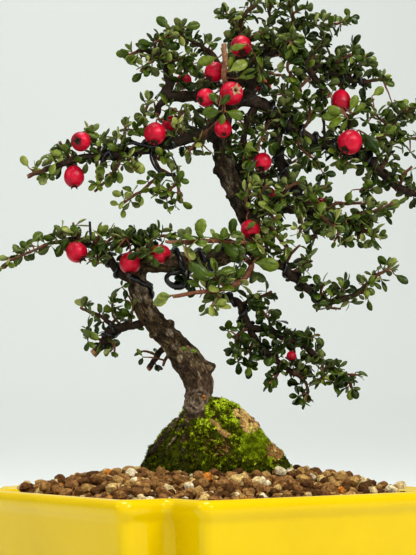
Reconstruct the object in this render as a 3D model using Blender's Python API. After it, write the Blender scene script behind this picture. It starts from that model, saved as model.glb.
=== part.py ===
# Cotoneaster bonsai in a glazed pot with indented corners.
# Metres, +Z up. The pot's long sides run along X, its feet stand on Z = 0, and the origin is
# under the middle of the pot. The tree's routes are read off its front view and carried out
# along the lines of sight, so the front view stays the same at any depth.

import math
import random

import bmesh
import bpy
from mathutils import Matrix, Vector, noise
from mathutils.bvhtree import BVHTree

MM = 0.001
GAP = 0.3 * MM

# Pot
POT_LENGTH = 0.154
POT_WIDTH = 0.142
POT_HEIGHT = 0.058
CORNER_NOTCH = 0.020
EDGE_ROUND = 0.0050
CREASE_ROUND = 0.0030
FOOT_HEIGHT = 0.007
FOOT_LENGTH = 0.030
FOOT_WIDTH = 0.024
FOOT_INSET = 0.022
DRAIN_RADIUS = 0.008
DRAIN_SPREAD = 0.036
# Inset from the rim's outline and height: up the outside, over the lip and down the inside
POT_PROFILE = (
    (0.0135, 0.0060),
    (0.0115, 0.0076),
    (0.0030, 0.0500),
    (0.0012, 0.0522),
    (0.0001, 0.0545),
    (0.0008, 0.0570),
    (0.0026, 0.0580),
    (0.0052, 0.0576),
    (0.0064, 0.0562),
    (0.0150, 0.0160),
    (0.0172, 0.0140),
)

# Soil
SOIL_RISE = 0.0086
SOIL_BELOW_RIM = 0.0012
GRAIN_PITCH = 0.0092
GRAIN_RELIEF = 0.0015
SCREEN_SIZE = 0.024
SCREEN_THICKNESS = 0.0012
SCREEN_BAR = 0.0022

# Front view of the tree: the eye, its distance from the trunk and the turn of the pot under it
EYE_DISTANCE = 0.600
EYE_ABOVE_RIM = 0.0279
VIEW_PITCH = math.radians(5.31)
VIEW_TURN = math.radians(-37.5)
TRUNK_RIGHT = -0.0007
TRUNK_BEHIND = 0.0067
SOIL_LINE = -0.075

# Leaves and berries
LEAF_LENGTH = 0.0086
LEAF_WIDTH = 0.0058
LEAF_THICKNESS = 0.0010
LEAF_SPACING = 0.0108
LEAF_TRIES = 10
# No leaf reaches past the ends of the pot
LEAF_REACH = POT_LENGTH / 2 - 0.001
GOLDEN_TURN = math.radians(137.5)
STALK_RADIUS = 0.00055

# Trunk and wires: places along the trunk lie a step apart, and wires stand off the bark by the lift
TRUNK_SIDES = 8
TRUNK_STEP = 0.0062
WIRE_SIDES = 4
WIRE_STEPS = 7
WIRE_LIFT = 0.40 * MM
# Nowhere is a place inside the tree's solids deeper than this
DEEPEST = 0.007

BARK_BROWN = (0.085, 0.055, 0.038, 1.0)
LEAF_GREEN = (0.075, 0.150, 0.035, 1.0)
BERRY_RED = (0.560, 0.008, 0.020, 1.0)
WIRE_BLACK = (0.012, 0.012, 0.013, 1.0)
GLAZE_YELLOW = (0.900, 0.640, 0.000, 1.0)
MOSS_GREEN = (0.090, 0.140, 0.010, 1.0)
GRAIN_BROWN = (0.120, 0.065, 0.040, 1.0)
SCREEN_BLACK = (0.020, 0.022, 0.020, 1.0)


def clear_scene():
    for old in list(bpy.data.objects):
        bpy.data.objects.remove(old, do_unlink=True)


def make_material(name, colour, roughness, metallic=0.0):
    made = bpy.data.materials.new(name)
    made.use_nodes = True
    shader = made.node_tree.nodes["Principled BSDF"]
    shader.inputs["Base Color"].default_value = colour
    shader.inputs["Roughness"].default_value = roughness
    shader.inputs["Metallic"].default_value = metallic
    return made


def object_from(bm, name):
    bmesh.ops.recalc_face_normals(bm, faces=bm.faces[:])
    mesh = bpy.data.meshes.new(name)
    bm.to_mesh(mesh)
    bm.free()
    made = bpy.data.objects.new(name, mesh)
    bpy.context.scene.collection.objects.link(made)
    return made


def apply_boolean(target, operation, other):
    """Joins or cuts the target with an object or with all of a collection, for good."""
    cut = target.modifiers.new("cut", "BOOLEAN")
    cut.operation = operation
    cut.solver = "MANIFOLD"
    if isinstance(other, bpy.types.Collection):
        cut.operand_type = "COLLECTION"
        cut.collection = other
    else:
        cut.object = other
    evaluated = target.evaluated_get(bpy.context.evaluated_depsgraph_get())
    mesh = bpy.data.meshes.new_from_object(evaluated)
    target.modifiers.remove(cut)
    target.data = mesh


def union_all(target, pieces):
    """Fuses the pieces into the target and removes them."""
    if not pieces:
        return
    group = bpy.data.collections.new("pieces")
    bpy.context.scene.collection.children.link(group)
    for piece in pieces:
        bpy.context.scene.collection.objects.unlink(piece)
        group.objects.link(piece)
    apply_boolean(target, "UNION", group)
    for piece in pieces:
        bpy.data.objects.remove(piece, do_unlink=True)
    bpy.data.collections.remove(group)


def cut_away(target, cutter):
    apply_boolean(target, "DIFFERENCE", cutter)
    keep_largest_body(target)


def keep_largest_body(target):
    """Drops the scraps that a cut leaves beside the main body."""
    bm = bmesh.new()
    bm.from_mesh(target.data)
    left = set(bm.verts)
    bodies = []
    while left:
        start = left.pop()
        body, front = [start], [start]
        while front:
            here = front.pop()
            for edge in here.link_edges:
                there = edge.other_vert(here)
                if there in left:
                    left.remove(there)
                    body.append(there)
                    front.append(there)
        bodies.append(body)
    bodies.sort(key=len)
    for body in bodies[:-1]:
        bmesh.ops.delete(bm, geom=body, context="VERTS")
    bm.to_mesh(target.data)
    bm.free()


def finish(target, surface):
    target.data.materials.clear()
    target.data.materials.append(surface)
    target.data.shade_smooth()
    target.data.set_sharp_from_angle(angle=math.radians(50))
    return target


def tree_of(target):
    """The object's faces, for testing what would cross it."""
    corners = [vertex.co.copy() for vertex in target.data.vertices]
    return BVHTree.FromPolygons(corners, [face.vertices[:] for face in target.data.polygons])


def is_clear(tree, place, reach):
    """Whether a place lies outside a solid and at least that far from it."""
    surface, normal, _, distance = tree.find_nearest(place)
    return distance > DEEPEST or (distance > reach and (place - surface).dot(normal) > 0)


# Places in the front view


def seen(across, up, depth):
    """The place seen at so many millimetres across and above the soil line, and at a depth."""
    side, lift = across * MM, up * MM + SOIL_LINE
    ahead = EYE_DISTANCE * math.cos(VIEW_PITCH) - lift * math.sin(VIEW_PITCH)
    rise = EYE_DISTANCE * math.sin(VIEW_PITCH) + lift * math.cos(VIEW_PITCH)
    reach = (EYE_DISTANCE + depth * MM) / ahead
    right = side * reach + TRUNK_RIGHT
    behind = depth * MM + TRUNK_BEHIND
    place = Matrix.Rotation(VIEW_TURN, 3, "Z") @ Vector((right, behind, 0.0))
    place.z = POT_HEIGHT + EYE_ABOVE_RIM + rise * reach
    return place


def seen_direction(right, up, behind):
    return (Matrix.Rotation(VIEW_TURN, 3, "Z") @ Vector((right, behind, up))).normalized()


class Route:
    """A run of places with a radius at each, which a stem or a wire follows."""

    def __init__(self, places, radii):
        self.places = places
        self.radii = radii
        self.marks = [0.0]
        for a, b in zip(places, places[1:]):
            self.marks.append(self.marks[-1] + (b - a).length)

    @classmethod
    def drawn(cls, rows):
        """From rows of across, up, depth and radius in millimetres."""
        places = [seen(across, up, depth) for across, up, depth, _ in rows]
        return cls(places, [radius * MM for *_, radius in rows])

    @property
    def length(self):
        return self.marks[-1]

    def at(self, distance):
        """Place, direction and radius at a distance from the start."""
        distance = min(max(distance, 0.0), self.length)
        i = 0
        while i < len(self.places) - 2 and distance > self.marks[i + 1]:
            i += 1
        share = (distance - self.marks[i]) / (self.marks[i + 1] - self.marks[i])
        a, b = self.places[i], self.places[i + 1]
        radius = self.radii[i] + (self.radii[i + 1] - self.radii[i]) * share
        return a.lerp(b, share), (b - a).normalized(), radius

    def smoothed(self, step):
        """The same run on a smooth curve, with a place at every step or so."""
        places, radii = [], []
        last = len(self.places) - 1
        for i in range(last):
            a, b = self.places[i], self.places[i + 1]
            before = self.places[max(i - 1, 0)]
            after = self.places[min(i + 2, last)]
            count = max(1, round((b - a).length / step))
            for k in range(count):
                t = k / count
                bend = (a * 2 + (b - before) * t
                        + (before * 2 - a * 5 + b * 4 - after) * t * t
                        + (a * 3 - before - b * 3 + after) * t ** 3)
                places.append(bend * 0.5)
                radii.append(self.radii[i] + (self.radii[i + 1] - self.radii[i]) * t)
        return Route(places + [self.places[last]], radii + [self.radii[last]])

    def nearest(self, place):
        """The distance along the route, past its root, that lies nearest to a place."""
        steps = 60
        return min(
            (self.length * k / steps for k in range(8, steps + 1)),
            key=lambda distance: (self.at(distance)[0] - place).length,
        )


def tube(name, route, sides, grow=0.0, rough=0.0, seed=0):
    """A closed tube along a route; rough swells and pinches it like bark."""
    bm = bmesh.new()
    rings = []
    side = None
    last = len(route.places) - 1
    for i, place in enumerate(route.places):
        ahead = (route.places[min(i + 1, last)] - route.places[max(i - 1, 0)]).normalized()
        if side is None:
            side = ahead.orthogonal().normalized()
        side = (side - ahead * side.dot(ahead)).normalized()
        other = ahead.cross(side)
        end_grow = ahead * (grow * ((i == last) - (i == 0)))
        ring = []
        for k in range(sides):
            turn = 2 * math.pi * k / sides
            out = side * math.cos(turn) + other * math.sin(turn)
            swell = 1 + rough * noise.noise((place + out * 0.004) * 140 + Vector((seed, 0, 0)))
            ring.append(bm.verts.new(place + end_grow + out * (route.radii[i] * swell + grow)))
        rings.append(ring)
    for lower, upper in zip(rings, rings[1:]):
        for k in range(sides):
            bm.faces.new((lower[k - 1], lower[k], upper[k], upper[k - 1]))
    bm.faces.new(rings[0])
    bm.faces.new(rings[-1])
    return object_from(bm, name)


def sides_for(route):
    """Few sides for a thin twig, more for a limb."""
    thickest = max(route.radii) / MM
    return 3 if thickest < 1.25 else 5


def burl(name, place, outward, radius, reach, grow=0.0):
    """A rounded lump that stands out of the trunk."""
    bm = bmesh.new()
    bmesh.ops.create_icosphere(bm, subdivisions=1, radius=1.0)
    turn = outward.to_track_quat("Z", "Y").to_matrix().to_4x4()
    stretch = Matrix.Diagonal((radius + grow, radius + grow, reach + grow, 1.0))
    bmesh.ops.transform(bm, matrix=Matrix.Translation(place) @ turn @ stretch, verts=bm.verts[:])
    return object_from(bm, name)


def sawn_stump(name, place, outward, radius, length, grow=0.0):
    bm = bmesh.new()
    turn = outward.to_track_quat("Z", "Y").to_matrix().to_4x4()
    bmesh.ops.create_cone(
        bm, cap_ends=True, segments=9, radius1=radius * 1.25 + grow, radius2=radius + grow,
        depth=length + 2 * grow, matrix=Matrix.Translation(place) @ turn,
    )
    return object_from(bm, name)


# The pot


def pot_outline(inset):
    """The pot's outline, drawn in by inset: a rectangle with a rounded notch at each corner."""
    length = POT_LENGTH / 2 - inset
    width = POT_WIDTH / 2 - inset
    notch = CORNER_NOTCH
    outer = max(EDGE_ROUND - inset * 0.25, 0.001)
    inner = CREASE_ROUND + inset * 0.25
    corners = (
        (length - outer, width - notch - outer, outer, (0, 45, 90)),
        (length - notch + inner, width - notch + inner, inner, (270, 180)),
        (length - notch - outer, width - outer, outer, (0, 45, 90)),
    )
    quarter = []
    for x, y, radius, angles in corners:
        for angle in map(math.radians, angles):
            quarter.append((x + radius * math.cos(angle), y + radius * math.sin(angle)))
    mirrored = [(-x, y) for x, y in reversed(quarter)]
    half = quarter + mirrored
    return half + [(-x, -y) for x, y in half]


def ring_at(bm, inset, height):
    return [bm.verts.new((x, y, height)) for x, y in pot_outline(inset)]


def loft(bm, rings):
    for lower, upper in zip(rings, rings[1:]):
        for k in range(len(lower)):
            bm.faces.new((lower[k - 1], lower[k], upper[k], upper[k - 1]))
    bm.faces.new(rings[0])
    bm.faces.new(rings[-1])


def block(name, size, place):
    bm = bmesh.new()
    bmesh.ops.create_cube(bm, matrix=Matrix.Translation(place) @ Matrix.Diagonal((*size, 1.0)))
    return object_from(bm, name)


def make_pot():
    bm = bmesh.new()
    loft(bm, [ring_at(bm, inset, height) for inset, height in POT_PROFILE])
    pot = object_from(bm, "pot")
    feet = []
    for x in (-1, 1):
        for y in (-1, 1):
            place = (x * (POT_LENGTH / 2 - FOOT_INSET - FOOT_LENGTH / 2),
                     y * (POT_WIDTH / 2 - FOOT_INSET - FOOT_WIDTH / 2), FOOT_HEIGHT / 2)
            feet.append(block("foot", (FOOT_LENGTH, FOOT_WIDTH, FOOT_HEIGHT), place))
    union_all(pot, feet)
    for x in (-DRAIN_SPREAD, DRAIN_SPREAD):
        bm = bmesh.new()
        bmesh.ops.create_cone(
            bm, cap_ends=True, segments=16, radius1=DRAIN_RADIUS, radius2=DRAIN_RADIUS,
            depth=0.03, matrix=Matrix.Translation((x, 0, 0.01)),
        )
        drill = object_from(bm, "drill")
        cut_away(pot, drill)
        bpy.data.objects.remove(drill, do_unlink=True)
    return pot


def make_screen(name, x):
    """A plastic mesh over a drain hole: a plate with square holes between crossing bars."""
    floor = POT_PROFILE[-1][1]
    height = floor + GAP + SCREEN_THICKNESS / 2
    screen = block(name, (SCREEN_SIZE, SCREEN_SIZE, SCREEN_THICKNESS), (x, 0, height))
    pitch = SCREEN_SIZE / 2
    hole = pitch - SCREEN_BAR
    group = bpy.data.collections.new("holes")
    bpy.context.scene.collection.children.link(group)
    for i in (-0.5, 0.5):
        for j in (-0.5, 0.5):
            cutter = block("hole", (hole, hole, 0.01), (x + i * pitch, j * pitch, height))
            bpy.context.scene.collection.objects.unlink(cutter)
            group.objects.link(cutter)
    apply_boolean(screen, "DIFFERENCE", group)
    for cutter in list(group.objects):
        bpy.data.objects.remove(cutter, do_unlink=True)
    bpy.data.collections.remove(group)
    return screen


# Soil and root mound


def soil_height(x, y):
    """The heaped soil: just under the rim at the walls, highest in the middle."""
    to_side = POT_LENGTH / 2 - 0.007 - abs(x)
    to_front = POT_WIDTH / 2 - 0.007 - abs(y)
    to_notch = math.hypot(max(to_side - CORNER_NOTCH, 0.0), max(to_front - CORNER_NOTCH, 0.0))
    inside = max(min(to_side, to_front, to_notch), 0.0) / (POT_WIDTH / 2 - 0.007)
    return POT_HEIGHT - SOIL_BELOW_RIM + SOIL_RISE * (1 - (1 - inside) ** 2.4)


def make_soil():
    """Soil that fills the pot, with its grains as relief on top."""
    rng = random.Random(11)
    columns = round(POT_LENGTH / GRAIN_PITCH) + 1
    rows = round(POT_WIDTH / (GRAIN_PITCH * 0.87)) + 1
    bottom = POT_PROFILE[-1][1] + SCREEN_THICKNESS + 3 * GAP
    bm = bmesh.new()
    grid = []
    for j in range(rows):
        line = []
        for i in range(columns):
            x = (i + 0.5 * (j % 2) - columns / 2 + 0.25) * GRAIN_PITCH
            y = (j - (rows - 1) / 2) * GRAIN_PITCH * 0.87
            x += rng.uniform(-0.2, 0.2) * GRAIN_PITCH
            y += rng.uniform(-0.2, 0.2) * GRAIN_PITCH
            z = soil_height(x, y) + rng.uniform(-1, 1) * GRAIN_RELIEF
            line.append(bm.verts.new((x, y, z)))
        grid.append(line)
    for j in range(rows - 1):
        for i in range(columns - 1):
            a, b = grid[j][i], grid[j][i + 1]
            c, d = grid[j + 1][i + 1], grid[j + 1][i]
            if j % 2:
                bm.faces.new((a, b, c))
                bm.faces.new((a, c, d))
            else:
                bm.faces.new((a, b, d))
                bm.faces.new((b, c, d))
    rim = [edge for edge in bm.edges if edge.is_boundary]
    walls = bmesh.ops.extrude_edge_only(bm, edges=rim)["geom"]
    lower = [part for part in walls if isinstance(part, bmesh.types.BMVert)]
    for vertex in lower:
        vertex.co.z = 0.004
    bmesh.ops.holes_fill(bm, edges=[e for e in bm.edges if e.is_boundary], sides=0)
    soil = object_from(bm, "soil")
    bm = bmesh.new()
    inside = [row for row in POT_PROFILE if row[0] > 0.005 and row[1] > bottom]
    rings = [ring_at(bm, POT_PROFILE[-1][0] + GAP + 0.0004, bottom)]
    for inset, height in reversed(inside):
        rings.append(ring_at(bm, inset + GAP, height))
    rings.append(ring_at(bm, inside[0][0] + GAP, POT_HEIGHT + 0.03))
    loft(bm, rings)
    filling = object_from(bm, "filling")
    apply_boolean(soil, "INTERSECT", filling)
    bpy.data.objects.remove(filling, do_unlink=True)
    return soil


# Height above the soil line and the mound's left and right edges, in millimetres
MOUND_OUTLINE = (
    (-6.0, -28.0, 34.5),
    (0.0, -26.6, 32.4),
    (4.0, -24.6, 29.0),
    (8.0, -22.4, 26.0),
    (12.0, -19.2, 21.4),
    (16.0, -15.6, 18.0),
    (20.0, -12.4, 15.4),
    (23.5, -9.8, 12.0),
    (25.8, -7.0, 7.0),
)
MOUND_SIDES = 18
MOUND_DEPTH_SHARE = 0.88


def make_mound(name, grow=0.0):
    """The mossy rootball, wider at the foot, with roots showing as ridges."""
    bm = bmesh.new()
    rings = []
    for up, left, right in MOUND_OUTLINE:
        middle, half = (left + right) / 2, (right - left) / 2
        ring = []
        for k in range(MOUND_SIDES):
            turn = 2 * math.pi * k / MOUND_SIDES
            ridge = 0.7 * math.cos(5 * turn + 0.8)
            lump = 1.5 * noise.noise(Vector((math.cos(turn) * 2.2, math.sin(turn) * 2.2, up / 6)))
            reach = half + ridge + lump + grow / MM
            place = seen(middle + reach * math.cos(turn), up,
                         reach * math.sin(turn) * MOUND_DEPTH_SHARE)
            ring.append(bm.verts.new(place))
        rings.append(ring)
    for lower, upper in zip(rings, rings[1:]):
        for k in range(MOUND_SIDES):
            bm.faces.new((lower[k - 1], lower[k], upper[k], upper[k - 1]))
    for ring, lift in ((rings[0], -grow), (rings[-1], 1.2 * MM + grow)):
        middle = sum((vertex.co for vertex in ring), Vector()) / MOUND_SIDES
        middle.z += lift
        peak = bm.verts.new(middle)
        for k in range(MOUND_SIDES):
            bm.faces.new((ring[k - 1], ring[k], peak))
    return object_from(bm, name)


# The tree's routes: across, up, depth behind the trunk's foot, radius, all in millimetres

TRUNK_FOOT = (
    (-3.6, 9.0, 0, 5.9), (-4.0, 22.0, 0, 5.7), (-3.6, 28.0, 0, 5.6), (-3.9, 34.0, 0, 6.1),
    (-7.8, 41.0, 0, 6.3), (-13.0, 48.0, 0, 5.4), (-19.6, 54.8, 0, 4.8), (-24.8, 62.0, 0, 4.4),
    (-27.4, 69.2, 0, 4.3), (-28.4, 76.0, 0, 4.2), (-27.8, 82.0, 0, 3.6),
)
TRUNK_LEVEL = (
    (-28.6, 78.5, 0, 3.4), (-24.5, 81.0, 0, 4.3), (-17.2, 81.4, 0, 4.7), (-7.2, 81.2, 0, 4.4),
    (2.8, 82.6, 0, 4.1), (10.8, 85.4, 0, 3.8), (17.2, 89.0, 0, 3.5),
)
TRUNK_TOP = (
    (15.0, 84.8, 0, 3.4), (17.4, 90.6, 0, 3.9), (16.6, 97.0, 0, 4.0), (14.4, 102.4, 0, 4.1),
    (11.6, 108.2, 0, 4.1), (8.8, 114.4, 0, 4.2), (6.6, 120.4, 0, 4.2), (5.8, 126.0, 0, 4.1),
    (5.6, 132.8, 0, 4.0), (6.4, 138.8, 0, 3.7), (8.8, 143.6, 0, 3.7), (13.0, 146.6, 0, 3.6),
    (18.4, 145.4, -0.5, 3.0),
)
# Healed stumps: across, up, depth, the way each points, radius and reach out of the trunk
BURLS = (
    (-1.6, 38.8, -0.5, (1.0, 0.1, -0.2), 3.2, 5.4),
    (-16.2, 55.2, -1.0, (0.75, 0.62, -0.25), 2.6, 3.9),
    (-20.2, 58.0, -1.0, (0.75, 0.6, -0.2), 2.4, 3.8),
    (-19.6, 53.4, -2.0, (-0.8, -0.4, -0.4), 2.7, 4.6),
    (4.8, 118.4, 0.0, (-0.9, -0.3, -0.1), 2.2, 3.3),
    (8.8, 121.6, -1.0, (0.9, 0.2, -0.3), 2.4, 3.7),
    (-25.0, 71.6, 1.0, (0.5, 0.2, 0.8), 2.4, 4.8),
    (-5.6, 33.0, 1.0, (-0.8, -0.2, 0.3), 2.8, 4.9),
)
# A sawn stump that faces the front: across, up, depth, the way it points, radius and length
SAWN = (-4.4, 26.4, -3.2, (0.0, 0.12, -1.0), 3.7, 5.4)

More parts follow.
